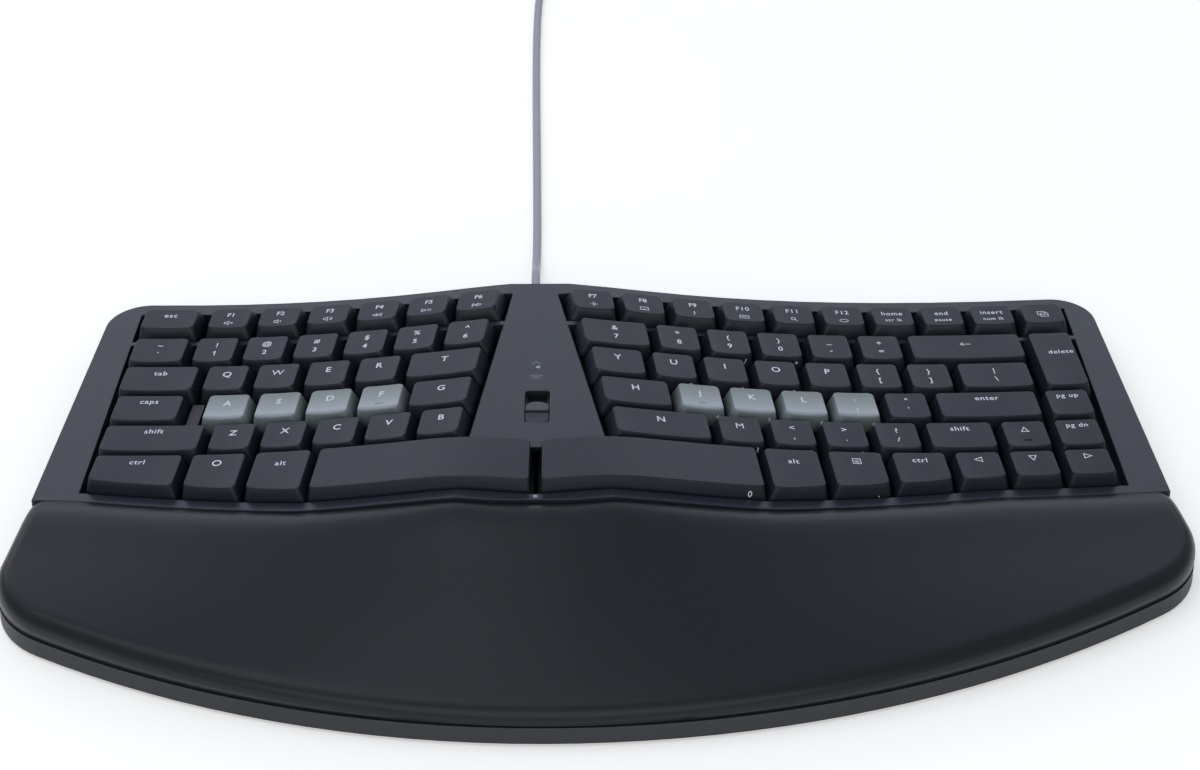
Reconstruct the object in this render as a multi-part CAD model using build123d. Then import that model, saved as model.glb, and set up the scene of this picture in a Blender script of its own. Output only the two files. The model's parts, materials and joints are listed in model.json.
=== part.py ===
from build123d import *
import math
import os

# Ergonomic keyboard: one desk-wide body with two splayed key fields that fall away from a centre
# wedge like a gull's wing, low-profile keycaps, a joined palm rest and a cord out of the back.
# All sizes are millimetres. Z = 0 is the desk, +Y points away from the user.

# Key grid
key_pitch = 19.05
cap_gap = 1.0
cap_height = 6.4
cap_side_taper = 1.6
cap_front_taper = 1.4
cap_wall = 1.1
cap_roof = 1.4
cap_dish = 0.45
cap_edge = 0.7
cap_corner = 1.9
skirt_corner_share = 0.6
inner_corner_share = 0.4
function_cap_depth = 17.4
function_cap_taper = 2.4
function_row_gap = 2.7
delete_cap_rows = 2
key_travel = 3.0

# Thumb row, whose front edge runs deeper towards the middle
thumb_rear_taper = 0.9
thumb_outer_depth = 17.0
thumb_extra_depth = 9.0
thumb_slant_start = 55.0
thumb_slant_run = 80.0
space_gap = 2.6
space_taper = 0.9
space_edge = 1.05
space_slices = 7

# Plan of the two halves
splay = 6.75
wedge_x = -22.2
wedge_offset = 18.8
block_y = 34.8
left_strip = 14.0
right_strip = 12.0
rear_reach = 66.2
wedge_left_rear = -1.8
wedge_left_front = 0.9
wedge_right_rear = -5.2
wedge_right_front = 1.5

# Wave of the key field: how far the key tops fall from the middle outwards
crest_height = 42.0
tent_fall = 24.0
tent_spread = 89.0
tent_ease = 1.17
wave_steps = 14
wave_reach = 120.0
cut_height = 50.0

# Casing
bezel_drop = 4.6
case_wall = 2.2
roof_wall = 2.0
floor_wall = 2.0
skirt_wall = 1.2
parting_height = 8.0
bar_width = 2.3
well_clearance = 0.8
well_spare = 0.9
well_corner = 1.5
front_strip = 4.6
case_corner = 15.0
seam_bend = 45.0
seam_gap = 0.25
seam_middle = 14.1

# Palm rest
palm_front = -157.0
palm_front_x = 4.0
palm_left_radius = 340.0
palm_right_radius = 364.0
palm_left_flare = 34.5
palm_right_flare = 33.0
palm_corner = 32.0
palm_lip_height = 13.5
palm_swell = 2.6
palm_wall = 2.4
palm_sections = 12
palm_boss_places = [(-127.8, 80.2), (-52.8, 64.2), (57.2, 60.2), (172.2, 80.2)]

# Switches, plates and boards
plate_drop = 10.6
plate_thickness = 1.2
board_drop = 13.0
board_thickness = 1.2
switch_width = 13.0
switch_depth = 11.0
switch_head = 4.2
switch_seat = 0.6
switch_slack = 0.35
well_floor = 0.4
plate_seat = 0.9
stem_width = 5.0
stem_depth = 3.0
stem_length = 5.8
stem_clearance = 0.35
filler_width = 0.24
filler_rise = 0.4

# Mode switch in the centre wedge
slot_width = 8.8
slot_length = 19.8
slot_rear = -5.3
switch_body_width = 13.0
switch_body_length = 26.0
switch_body_height = 5.0
knob_length = 12.0
knob_clearance = 0.3
knob_rise = 0.6
knob_tail = 1.6
knob_groove_width = 1.6
knob_groove_depth = 0.7
knob_groove_place = 0.42
track_ledge = 2.0
light_radius = 0.9
light_place = 9.7
light_margin = 0.4
light_rise = 0.1

# Feet and fasteners
foot_height = 1.4
foot_length = 26.0
foot_width = 9.0
foot_recess = 0.8
foot_end_share = 0.45
rear_foot_inset = 17.0
rear_foot_depth = 33.0
middle_foot_depth = 18.5
front_foot_inset = 59.2
front_foot_rise = 62.2
lip_foot_rise = 24.2
tilt_foot_width = 34.0
tilt_foot_length = 17.0
tilt_foot_thickness = 2.4
tilt_foot_clearance = 0.5
tilt_foot_inset = 52.0
tilt_foot_round = 1.08
hinge_radius = 1.2
hinge_slack = 0.15
hinge_bite = 1.0
hinge_lift = 0.3
hinge_edge = 0.2
screw_radius = 1.5
screw_head_radius = 2.7
screw_head_height = 1.4
screw_length = 9.0
screw_tip_room = 1.0
boss_radius = 3.0
screw_socket_share = 0.4

# Battery and controller
battery_length = 96.0
battery_width = 34.0
battery_thickness = 4.8
controller_length = 58.0
controller_width = 24.0
controller_thickness = 1.6
controller_rise = 3.0
controller_place = 45.0
socket_width = 9.0
socket_depth = 7.0
socket_height = 4.2
chip_width = 9.0
chip_height = 1.2
battery_rise = 47.2
battery_round = 1.44

# Cord
cord_diameter = 3.4
cord_rest = 0.05
cord_exit_height = 13.0
relief_length = 34.0
relief_radius = 4.2
relief_flange = 6.0
relief_flange_thickness = 1.6
relief_lip = 0.3
cord_offset = -2.4
coil_inner_radius = 16.0
coil_pitch = 4.4
coil_turns_per_layer = 2
coil_layers = 4
tie_width = 6.0
tie_thickness = 0.6
tie_clearance = 0.45
plug_width = 16.0
plug_height = 8.0
plug_length = 26.0
plug_shell_width = 12.0
plug_shell_height = 4.5
plug_shell_length = 18.8
plug_shell_wall = 0.35
plug_sleeve = 9.0
plug_round = 2.4
plug_tongue_share = 0.45
tie_corner = 3.0

# Each row runs outwards from the middle: node, key, width in key pitches. A width with no node is
# a gap in the row. The first number is where the row starts, measured out from the wedge.
left_rows = [
    (0, 0.7, [("function_keys_left", "f6", 1.0), ("function_keys_left", "f5", 1.0),
              ("function_keys_left", "f4", 1.0), ("function_keys_left", "f3", 1.0),
              ("function_keys_left", "f2", 1.0), ("function_keys_left", "f1", 1.0),
              (None, "gap", 0.08), ("escape_key", "esc", 1.28)]),
    (1, 1.8, [("number_keys_left", "6", 1.0), ("number_keys_left", "5", 1.0),
              ("number_keys_left", "4", 1.0), ("number_keys_left", "3", 1.0),
              ("number_keys_left", "2", 1.0), ("number_keys_left", "1", 1.0),
              ("number_keys_left", "backquote", 1.26)]),
    (2, 1.8, [("upper_letters_left", "t", 1.58), ("upper_letters_left", "r", 1.0),
              ("upper_letters_left", "e", 1.0), ("upper_letters_left", "w", 1.0),
              ("upper_letters_left", "q", 1.0), ("tab_key", "tab", 1.64)]),
    (3, 2.4, [("g_key", "g", 1.33), ("home_keys_left", "f", 1.0), ("home_keys_left", "d", 1.0),
              ("home_keys_left", "s", 1.0), ("home_keys_left", "a", 1.0), (None, "filler", 0.3),
              ("caps_lock_key", "caps", 1.49)]),
    (4, 2.6, [("lower_letters_left", "b", 1.0), ("lower_letters_left", "v", 1.0),
              ("lower_letters_left", "c", 1.0), ("lower_letters_left", "x", 1.0),
              ("lower_letters_left", "z", 1.0), ("left_shift_key", "shift", 2.09)]),
    (5, 55.0, [("left_alt_key", "alt", 1.25), ("left_system_key", "system", 1.21),
               ("left_control_key", "ctrl", 1.85)]),
]
right_rows = [
    (0, -2.4, [("function_keys_right", "f7", 1.0), ("function_keys_right", "f8", 1.0),
               ("function_keys_right", "f9", 1.0), ("function_keys_right", "f10", 1.0),
               ("function_keys_right", "f11", 1.0), ("function_keys_right", "f12", 1.0),
               ("navigation_keys", "home", 1.0), ("navigation_keys", "end", 1.0),
               ("navigation_keys", "insert", 1.02), ("navigation_keys", "capture", 1.02)]),
    (1, -1.2, [("number_keys_right", "7", 1.48), ("number_keys_right", "8", 1.0),
               ("number_keys_right", "9", 1.0), ("number_keys_right", "0", 1.0),
               ("number_keys_right", "minus", 1.0), ("number_keys_right", "equal", 1.0),
               ("backspace_key", "backspace", 2.42), ("delete_key", "delete", 1.02)]),
    (2, 0.4, [("upper_letters_right", "y", 1.18), ("upper_letters_right", "u", 1.0),
              ("upper_letters_right", "i", 1.0), ("upper_letters_right", "o", 1.0),
              ("upper_letters_right", "p", 1.0), ("upper_letters_right", "open_bracket", 1.0),
              ("upper_letters_right", "close_bracket", 1.0),
              ("upper_letters_right", "backslash", 1.58)]),
    (3, 1.5, [("h_and_quote_keys", "h", 1.49), ("home_keys_right", "j", 1.0),
              ("home_keys_right", "k", 1.0), ("home_keys_right", "l", 1.0),
              ("home_keys_right", "semicolon", 1.0), ("h_and_quote_keys", "quote", 1.0),
              ("enter_key", "enter", 2.14), ("page_up_key", "page_up", 1.02)]),
    (4, 3.4, [("lower_letters_right", "n", 2.0), ("lower_letters_right", "m", 1.0),
              ("lower_letters_right", "comma", 1.0), ("lower_letters_right", "period", 1.0),
              ("lower_letters_right", "slash", 1.0), ("right_shift_key", "shift", 1.45),
              ("arrow_up_key", "up", 1.03), ("page_down_key", "page_down", 1.03)]),
    (5, 55.6, [("right_alt_key", "alt", 1.21), ("menu_key", "menu", 1.21),
               ("right_control_key", "ctrl", 1.2), ("arrow_left_key", "left", 1.04),
               ("arrow_down_key", "down", 1.04), ("arrow_right_key", "right", 1.04)]),
]
rows = {-1: left_rows, 1: right_rows}
upright = (Align.CENTER, Align.CENTER, Align.MIN)
hanging = (Align.CENTER, Align.CENTER, Align.MAX)
strips = {-1: left_strip, 1: right_strip}
side_name = {-1: "left", 1: "right"}


# Wave and plan

def fall(a):
    """Drop of the key tops at the plan distance a out from the wedge."""
    return tent_fall * (1 - math.exp(-(max(a, 0.0) / tent_spread) ** tent_ease))


def half_frame(side):
    """Placement of one half: its own Y runs along the key columns."""
    return Location((wedge_x + side * wedge_offset, block_y, 0), (0, 0, side * splay))


def spot(side, a, t):
    """Plan point of a half at the distance a outwards and t along its columns."""
    return (half_frame(side) * Location((side * a, t, 0))).position


def row_centre(row):
    """Column position of the middle of a letter row."""
    return (2.5 - row) * key_pitch


def thumb_front(a):
    """Front of the thumb row's skirts at the distance a outwards."""
    share = min(max((thumb_slant_start + thumb_slant_run - a) / thumb_slant_run, 0.0), 1.0)
    return thumb_rear - thumb_outer_depth - thumb_extra_depth * share


number_rear = row_centre(1) + key_pitch / 2 - cap_gap / 2
function_front = number_rear + cap_gap + function_row_gap
function_rear = function_front + function_cap_depth
thumb_rear = row_centre(4) - key_pitch / 2 - cap_gap / 2
well_rear = function_rear + well_clearance
bar_middle = (number_rear + function_front) / 2
bezel_height = crest_height - bezel_drop
inner_floor = foot_height + floor_wall


def wave_line(start, stop, drop):
    """Profile of the wave: level inside the wedge's edge, then one smooth curve outwards."""
    steps = [stop * i / wave_steps for i in range(wave_steps + 1)]
    curve = Spline(*[(a, crest_height - fall(a) - drop) for a in steps])
    if start >= 0:
        return [curve]
    level = crest_height - drop
    return [Line((start, level), (0, level)), curve]


def wave_band(side, top_drop, thickness, start, stop):
    """Strip of the wave, its top at top_drop under the key tops, wide enough for any cut."""
    top = wave_line(start, stop, top_drop)
    low = wave_line(start, stop, top_drop + thickness)
    ends = [Line(top[0] @ 0, low[0] @ 0), Line(top[-1] @ 1, low[-1] @ 1)]
    strip = extrude(Plane.XZ * make_face(top + low + ends), wave_reach, both=True)
    if side < 0:
        strip = mirror(strip, Plane.YZ)
    return half_frame(side) * strip


def above_wave(side, top_drop):
    """Everything over the wave of one half, to be cut away."""
    return wave_band(side, top_drop - cut_height, cut_height, 0, reach[side] + cut_height)


# Plan outlines

def seam_points():
    """Line where the palm rest meets the key casing, from left to right."""
    outer = thumb_slant_start + thumb_slant_run
    out = []
    for side, order in ((-1, 1), (1, -1)):
        stations = [reach[side], outer, thumb_slant_start, -seam_middle]
        line = [spot(side, a, thumb_front(a) - well_clearance - front_strip) for a in stations]
        out += line[::order]
    return out


def corners_at(line, points):
    """Corners of an outline that lie on some plan points, to a hundredth of a millimetre."""
    return [v for v in line.vertices() if any(math.dist((v.X, v.Y), p) < 0.01 for p in points)]


def key_case_outline(inset):
    """Plan of the key casing, drawn in by an inset."""
    rear = [spot(s, a, rear_reach) for s, a in ((1, reach[1]), (1, 0), (-1, 0), (-1, reach[-1]))]
    line = make_face(Polyline(*[(p.X, p.Y) for p in seam_points() + rear], close=True))
    ends = [(p.X, p.Y) for p in (rear[0], rear[-1])]
    line = fillet(corners_at(line, ends), case_corner)
    bends = [(p.X, p.Y) for p in seam_points()[1:-1]]
    line = fillet(corners_at(line, bends), seam_bend)
    return offset(line, -inset, kind=Kind.ARC) if inset else line


def palm_outline(inset):
    """Plan of the palm rest, from inside the key casing to its bowed front."""
    apex = (wedge_x + palm_front_x, block_y + palm_front)
    left_x = wedge_x + palm_left_x
    right_x = wedge_x + palm_right_x
    left_rise = palm_left_radius - math.sqrt(palm_left_radius ** 2 - (apex[0] - left_x) ** 2)
    right_rise = palm_right_radius - math.sqrt(palm_right_radius ** 2 - (right_x - apex[0]) ** 2)
    left = (left_x, apex[1] + left_rise)
    right = (right_x, apex[1] + right_rise)
    seam = [(p.X, p.Y) for p in seam_points()]
    middle = [(x, y + case_wall) for x, y in seam[1:-1]]
    back = Polyline(seam[0], *middle, seam[-1])
    front_left = TangentArc(apex, left, tangent=(-1, 0))
    front_right = TangentArc(apex, right, tangent=(1, 0))
    line = make_face([front_left, Line(left, seam[0]), back, Line(seam[-1], right), front_right])
    line = fillet(corners_at(line, [left, right]), palm_corner)
    return offset(line, -inset, kind=Kind.ARC) if inset else line


def body_outline(inset):
    """Plan of the whole keyboard."""
    line = key_case_outline(0) + palm_outline(0)
    return offset(line, -inset, kind=Kind.ARC) if inset else line


# Keycaps

class Key:
    """One key: its name, node, half, row and the stretch of its row that it covers."""

    def __init__(self, node, name, side, row, start, stop, rear, front, tapers):
        self.node = node
        self.name = name
        self.side = side
        self.row = row
        self.start = start + cap_gap / 2
        self.stop = stop - cap_gap / 2
        self.rear = rear
        self.front = front
        self.tapers = tapers

    @property
    def place(self):
        """Frame of the cap's top: X outwards along the chord of the wave, Y along the column."""
        middle = (self.start + self.stop) / 2
        z_start = crest_height - fall(self.start)
        z_stop = crest_height - fall(self.stop)
        slope = math.degrees(math.atan2(z_start - z_stop, self.stop - self.start))
        height = (z_start + z_stop) / 2
        flat = Location((self.side * middle, 0, height), (0, self.side * slope, 0))
        return half_frame(self.side) * flat

    def quad(self, drawn_in, extra=0.0):
        """Corners of the skirt or, fully drawn in, of the top, in the cap's own frame."""
        rear_taper, front_taper = self.tapers
        run = self.stop - self.start
        z_run = fall(self.stop) - fall(self.start)
        half = math.hypot(run, z_run) / 2 - cap_side_taper * drawn_in - extra
        rear = self.rear - rear_taper * drawn_in - extra
        inner_front = self.front(self.start) + front_taper * drawn_in + extra
        outer_front = self.front(self.stop) + front_taper * drawn_in + extra
        points = [(-half, inner_front), (half, outer_front), (half, rear), (-half, rear)]
        return [(self.side * x, y) for x, y in points]


def straight(t):
    """Front edge that stays at one column position."""
    return lambda a: t


def letter_front(row):
    """Front of a letter row's skirts."""
    return straight(row_centre(row) - key_pitch / 2 + cap_gap / 2)


def step_out(a, length):
    """Plan distance reached after a chord of the given length along the wave."""
    stop = a + length
    for _ in range(6):
        stop = a + math.sqrt(length ** 2 - (fall(stop) - fall(a)) ** 2)
    return stop


def make_keys():
    """Every key of both halves but the two spacebars, and where the filler block stands."""
    keys = []
    fillers = []
    for side, half_rows in rows.items():
        for row, start, entries in half_rows:
            a = step_out(0.0, start) if start > 0 else start
            for node, name, units in entries:
                stop = step_out(a, units * key_pitch)
                rear = row_centre(row) + key_pitch / 2 - cap_gap / 2
                front = letter_front(row)
                tapers = (cap_front_taper, cap_front_taper)
                if row == 0:
                    rear = function_rear
                    front = straight(function_front)
                    tapers = (function_cap_taper, function_cap_taper)
                if row == 5:
                    rear = thumb_rear
                    front = thumb_front
                    tapers = (thumb_rear_taper, cap_front_taper)
                if name == "delete":
                    front = letter_front(row + delete_cap_rows - 1)
                if node:
                    keys.append(Key(node, name, side, row, a, stop, rear, front, tapers))
                if name == "filler":
                    fillers.append((side, (a + stop) / 2, row_centre(row)))
                a = stop
    return keys, fillers


def rounded(points, radius, level):
    """Flat outline with rounded corners at one height."""
    sketch = make_face(Polyline(*points, close=True))
    return Plane.XY.offset(level) * fillet(sketch.vertices(), radius)


def cap_solid(key):
    """Hollow cap with tapered sides, a shallow dish on top and its stem."""
    skirt = rounded(key.quad(0), cap_corner * skirt_corner_share, -cap_height)
    top = rounded(key.quad(1), cap_corner, 0)
    body = loft([skirt, top])
    body = fillet(body.faces().sort_by(Axis.Z)[-1].edges(), cap_edge)
    width = abs(key.quad(1)[1][0] - key.quad(1)[0][0])
    depth = key.quad(1)[2][1] - min(p[1] for p in key.quad(1))
    radius = (width ** 2 / 4 + cap_dish ** 2) / (2 * cap_dish)
    middle = (key.rear + key.front((key.start + key.stop) / 2)) / 2
    dish = Pos(0, middle, radius - cap_dish) * Rot(90, 0, 0) * Cylinder(radius, 2 * depth)
    body -= dish
    low = rounded(key.quad(0, cap_wall), cap_corner * inner_corner_share, -cap_height)
    high = rounded(key.quad(1, cap_wall), cap_corner * skirt_corner_share, -cap_roof)
    body -= loft([low, high])
    return body + Pos(0, middle, 0) * cap_stem()


def cap_stem():
    """Stem under a cap's top, from inside the roof down into the switch."""
    stem = Box(stem_width, stem_depth, stem_length, align=hanging)
    return Pos(0, 0, -cap_dish - cap_roof / 3) * stem


def thumb_section(a, side, drawn_in, extra, top, low):
    """Upright slice of a spacebar at the distance a outwards."""
    z = crest_height - fall(a)
    lead = thumb_front(a)
    rear_low = thumb_rear - extra
    front_low = lead + extra
    rear_top = thumb_rear - thumb_rear_taper - extra
    front_top = lead + cap_front_taper + extra
    points = [(front_low, z - low), (rear_low, z - low), (rear_top, z - top), (front_top, z - top)]
    plane = Plane(origin=(side * a, 0, 0), x_dir=(0, 1, 0), z_dir=(1, 0, 0))
    line = make_face(Polyline(*points, close=True))
    if drawn_in:
        line = fillet(line.vertices().sort_by(Axis.Y)[-2:], space_edge)
    return plane * line


def spacebar(side):
    """Curved bar that follows the wave and ends square to the keyboard's middle line."""
    end = min(k.start for k in all_keys if k.side == side and k.row == 5) - cap_gap
    inner = -wedge_offset * 2
    level = [inner, inner * 0.66, inner * 0.33, 0.0]
    stations = level + [end * i / space_slices for i in range(1, space_slices + 1)]
    outer = loft([thumb_section(a, side, True, 0, 0, cap_height) for a in stations])
    slices = [thumb_section(a, side, False, cap_wall, cap_roof, cap_height + 1) for a in stations]
    hollow = loft(slices)
    lean = math.degrees(math.atan2(space_taper, cap_height))
    half = half_frame(side)
    bar = half * outer
    core = half * hollow
    mid_x = wedge_x + side * space_gap / 2
    bar = split_at(bar, mid_x, crest_height - cap_height, side, lean)
    core = split_at(core, mid_x + side * cap_wall, crest_height - cap_height, side, lean)
    z_end = crest_height - fall(end)
    end_spot = spot(side, end, 0)
    bar -= end_cut(side, end_spot, z_end, lean, 0)
    core -= end_cut(side, end_spot, z_end, lean, cap_wall)
    bar -= core
    return bar + switch_place(side, space_stem, thumb_row_middle) * cap_stem()


def split_at(solid, x, z, side, lean):
    """Cut a spacebar's inner end with a plane that leans outwards by the side taper."""
    align = (Align.MAX if side > 0 else Align.MIN, Align.CENTER, Align.CENTER)
    block = Box(2 * wave_reach, 2 * wave_reach, 2 * wave_reach, align=align)
    return solid - Pos(x, block_y, z) * Rot(0, side * lean, 0) * block


def end_cut(side, point, z, lean, wall):
    """Block that trims a spacebar's outer end along its columns."""
    align = (Align.MIN if side > 0 else Align.MAX, Align.CENTER, Align.CENTER)
    block = Box(wave_reach, 2 * wave_reach, wave_reach, align=align)
    place = Pos(point.X, point.Y, z - cap_height) * Rot(0, 0, side * splay)
    return place * Pos(-side * wall, 0, 0) * Rot(0, -side * lean, 0) * block


# Wells and fields

def wedge_edge(side, t):
    """Inner wall of a half's wells at the column position t."""
    rear, front = {-1: (wedge_left_rear, wedge_left_front),
                   1: (wedge_right_rear, wedge_right_front)}[side]
    share = (well_rear - t) / (well_rear - thumb_rear)
    return rear + (front - rear) * share


def outer_wall(side, t):
    """Outer wall of a half's wells: a straight line that clears the ends of all rows."""
    ends = [(k.row, k.stop + well_clearance, k.front(k.stop)) for k in all_keys if k.side == side]
    rear = max(stop for row, stop, t_front in ends if row < 2) + well_spare
    front = max(stop for row, stop, t_front in ends if row > 3)
    depth = well_rear - thumb_front(front)
    for row, stop, t_front in ends:
        front = max(front, rear + (stop - rear) * depth / (well_rear - t_front))
    share = (well_rear - t) / depth
    return rear + (front - rear) * share


def middle_line(t, gap=0.0):
    """Distance out of the keyboard's middle line, less a gap to it, at the column position t."""
    turn = math.radians(splay)
    return (t * math.sin(turn) - wedge_offset + gap) / math.cos(turn)


def plan(side, points):
    """Flat outline of a half's own points, in the keyboard's frame."""
    line = [spot(side, a, t) for a, t in points]
    return make_face(Polyline(*[(p.X, p.Y) for p in line], close=True))


def thumb_line(side, gap):
    """Front wall of the thumb row's well, from the outer wall to the middle line."""
    lead = -well_clearance
    corner = thumb_slant_start + thumb_slant_run
    wall = outer_wall(side, thumb_front(corner))
    points = [(wall, thumb_front(wall) + lead)]
    if wall > corner:
        points.append((corner, thumb_front(corner) + lead))
    front = thumb_front(0) + lead
    points.append((thumb_slant_start, front))
    points.append((middle_line(front, gap), front))
    return points


def main_well(side):
    """Opening for the number, letter and thumb rows of one half."""
    rear = bar_middle - bar_width / 2
    tab = thumb_rear + well_clearance
    points = [(wedge_edge(side, rear), rear), (outer_wall(side, rear), rear)]
    points += thumb_line(side, 0.0)
    points += [(middle_line(tab), tab), (wedge_edge(side, tab), tab)]
    return plan(side, points)


def function_well(side):
    """Opening for the function row of one half."""
    front = bar_middle + bar_width / 2
    points = [(wedge_edge(side, front), front), (wedge_edge(side, well_rear), well_rear),
              (outer_wall(side, well_rear), well_rear), (outer_wall(side, front), front)]
    return plan(side, points)


def field(side):
    """Outline that a half's plate and board share, before their seats are added."""
    tab = thumb_rear + well_clearance
    points = [(wedge_edge(side, well_rear), well_rear), (outer_wall(side, well_rear), well_rear)]
    points += thumb_line(side, plate_seat * 2)
    points += [(middle_line(tab, plate_seat * 2), tab), (wedge_edge(side, tab), tab)]
    return plan(side, points)


def wells():
    """All openings of the key casing in one flat outline."""
    return main_well(-1) + main_well(1) + function_well(-1) + function_well(1)


def slot_outline(grow=0.0):
    """Outline of the mode switch's slot in the wedge."""
    y = block_y + slot_rear - slot_length / 2
    return Pos(wedge_x, y) * RectangleRounded(slot_width + 2 * grow, slot_length + 2 * grow, well_corner)


# Casing

def key_case():
    """Upper shell round the keys, with its wells, bars, skirts and screw bosses."""
    outer = extrude(Plane.XY.offset(parting_height) * key_case_outline(0), bezel_height - parting_height)
    inner = extrude(Plane.XY.offset(0) * key_case_outline(case_wall), bezel_height - roof_wall)
    for side in (-1, 1):
        outer -= above_wave(side, bezel_drop)
        inner -= above_wave(side, bezel_drop + roof_wall)
    openings = wells()
    grown = offset(openings, skirt_wall, kind=Kind.INTERSECTION)
    collar = extrude(grown - openings, bezel_height)
    shell = outer - inner - extrude(openings, crest_height)
    in_roof = bezel_drop + roof_wall / 2
    for side in (-1, 1):
        shell += collar & wave_band(side, in_roof, plate_drop - in_roof, -wedge_offset, reach[side])
    under = extrude(Plane.XY.offset(inner_floor) * key_case_outline(0),
                    bezel_height - roof_wall / 2 - inner_floor)
    for side in (-1, 1):
        under -= above_wave(side, in_roof)
    for x, y in case_bosses:
        shell += post_at(x, y) & under
    shell -= extrude(slot_outline(), crest_height)
    for x, y in case_bosses:
        shell -= screw_bore(x, y)
    for x, y in light_spots:
        shell -= Pos(x, y, 0) * Cylinder(light_radius, 2 * crest_height)
    shell -= relief_hole()
    return shell


def post_at(x, y):
    """Tall post that a screw boss is cut from."""
    return Pos(x, y, inner_floor) * Cylinder(boss_radius, crest_height, align=upright)


def screw_bore(x, y):
    """Bore of a screw's boss."""
    depth = screw_length + screw_head_height + screw_tip_room
    return Pos(x, y, foot_height) * Cylinder(screw_radius, depth, align=upright)


def relief_hole():
    """Hole of the strain relief's neck in the rear wall."""
    bore = Rot(90, 0, 0) * Cylinder(relief_radius, 8 * case_wall)
    return Pos(cord_x, rear_wall, cord_exit_height) * bore


def seam_height(x):
    """Plan position and height of the seam at one X."""
    points = seam_points()
    for p, q in zip(points, points[1:]):
        if p.X <= x <= q.X:
            break
    share = min(max((x - p.X) / (q.X - p.X), 0.0), 1.0)
    y = p.Y + (q.Y - p.Y) * share
    side = 1 if x > wedge_x else -1
    a = (half_frame(side).inverse() * Location((x, y, 0))).position.X * side
    return y, bezel_height - fall(a)


def palm_block(sunk):
    """Block under the palm rest's top, which swells from the seam down to the front."""
    front = block_y + palm_front - case_wall
    span = palm_right_x - palm_left_x
    sections = []
    for i in range(palm_sections + 1):
        x = wedge_x + palm_left_x - case_wall + (span + 2 * case_wall) * i / palm_sections
        y, z = seam_height(min(max(x, seam_points()[0].X), seam_points()[-1].X))
        rear = y + 3 * case_wall
        mid = (0.5 * (rear + front), 0.5 * (z + palm_lip_height) + palm_swell - sunk)
        top = Spline((front, palm_lip_height - sunk), mid, (rear, z - sunk))
        box = [Line((rear, z - sunk), (rear, 0)), Line((rear, 0), (front, 0)),
               Line((front, 0), (front, palm_lip_height - sunk))]
        plane = Plane(origin=(x, 0, 0), x_dir=(0, 1, 0), z_dir=(1, 0, 0))
        sections.append(plane * make_face([top] + box))
    return loft(sections)


def palm_rest():
    """Smooth shell in front of the keys."""
    outline = extrude(Plane.XY.offset(parting_height) * palm_outline(0), crest_height)
    behind = extrude(key_case_outline(-seam_gap), 2 * crest_height)
    body = (palm_block(0) & outline) - behind
    hollow = extrude(palm_outline(palm_wall), 2 * crest_height) & palm_block(palm_wall)
    shell = body - hollow
    for x, y in palm_bosses:
        shell += post_at(x, y) & palm_block(palm_wall / 2)
        shell -= screw_bore(x, y)
    return shell


def base_case():
    """Lower shell under the keys and the palm rest, with pockets for the feet."""
    floor = body_outline(0)
    body = extrude(Plane.XY.offset(foot_height) * floor, parting_height - foot_height)
    body -= extrude(Plane.XY.offset(inner_floor) * body_outline(case_wall), parting_height)
    for place in tilt_places():
        body += place * tilt_housing()
    for place in tilt_places():
        body -= place * tilt_pocket()
    for x, y in case_bosses + palm_bosses:
        body -= Pos(x, y, foot_height) * Cylinder(screw_radius + stem_clearance, 3 * floor_wall)
        head = Cylinder(screw_head_radius + stem_clearance, 2 * screw_head_height)
        body -= Pos(x, y, foot_height) * head
    for place in foot_places():
        body -= place * foot_solid(foot_recess)
    for x, y in controller_posts():
        body += Pos(x, y, inner_floor) * Cylinder(boss_radius / 2, controller_rise, align=upright)
    return body


# Feet

def foot_places():
    """Where the rubber feet sit: three under the palm rest and three under the rear."""
    front = block_y + palm_front
    left = wedge_x + palm_left_x + front_foot_inset
    right = wedge_x + palm_right_x - front_foot_inset
    places = [Pos(left, front + front_foot_rise), Pos(right, front + front_foot_rise)]
    places += [Pos(wedge_x, front + lip_foot_rise), Pos(wedge_x, rear_wall - middle_foot_depth)]
    for side in (-1, 1):
        p = spot(side, reach[side] - rear_foot_inset, rear_reach - rear_foot_depth)
        places.append(Pos(p.X, p.Y))
    return places


def foot_solid(recess):
    """Rubber foot that stands in its shallow recess."""
    pad = RectangleRounded(foot_length, foot_width, foot_width * foot_end_share)
    return extrude(pad, foot_height + recess)


def tilt_places():
    """Where the folding feet lie, turned with the half that they are under."""
    out = []
    for side in (-1, 1):
        p = spot(side, reach[side] - tilt_foot_inset, rear_reach - case_corner - tilt_foot_length / 2)
        out.append(Location((p.X, p.Y, foot_height), (0, 0, side * splay)))
    return out


def tilt_housing():
    """Raised floor over a folding foot's pocket."""
    slack = 2 * (tilt_foot_clearance + floor_wall)
    return Box(tilt_foot_width + slack, tilt_foot_length + slack, tilt_top + floor_wall, align=upright)


def tilt_pocket():
    """Pocket and hinge holes of a folding foot."""
    slack = 2 * tilt_foot_clearance
    box = Box(tilt_foot_width + slack, tilt_foot_length + slack, tilt_top, align=upright)
    return box + tilt_pin(hinge_radius + hinge_slack)


def tilt_foot():
    """Folding foot with its pins, lying flat in its pocket."""
    flap = Pos(0, 0, tilt_axis_z) * Box(tilt_foot_width, tilt_foot_length, tilt_foot_thickness)
    flap = fillet(flap.edges().filter_by(Axis.X).group_by(Axis.Y)[-1], tilt_foot_round)
    return flap + tilt_pin(hinge_radius)


def tilt_pin(radius):
    """Round bar along a folding foot's hinge, which bites into both walls of its pocket."""
    length = tilt_foot_width + 2 * tilt_foot_clearance + 2 * hinge_bite
    return Pos(0, tilt_axis_y, tilt_axis_z) * Rot(0, 90, 0) * Cylinder(radius, length)


# Inside

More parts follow.
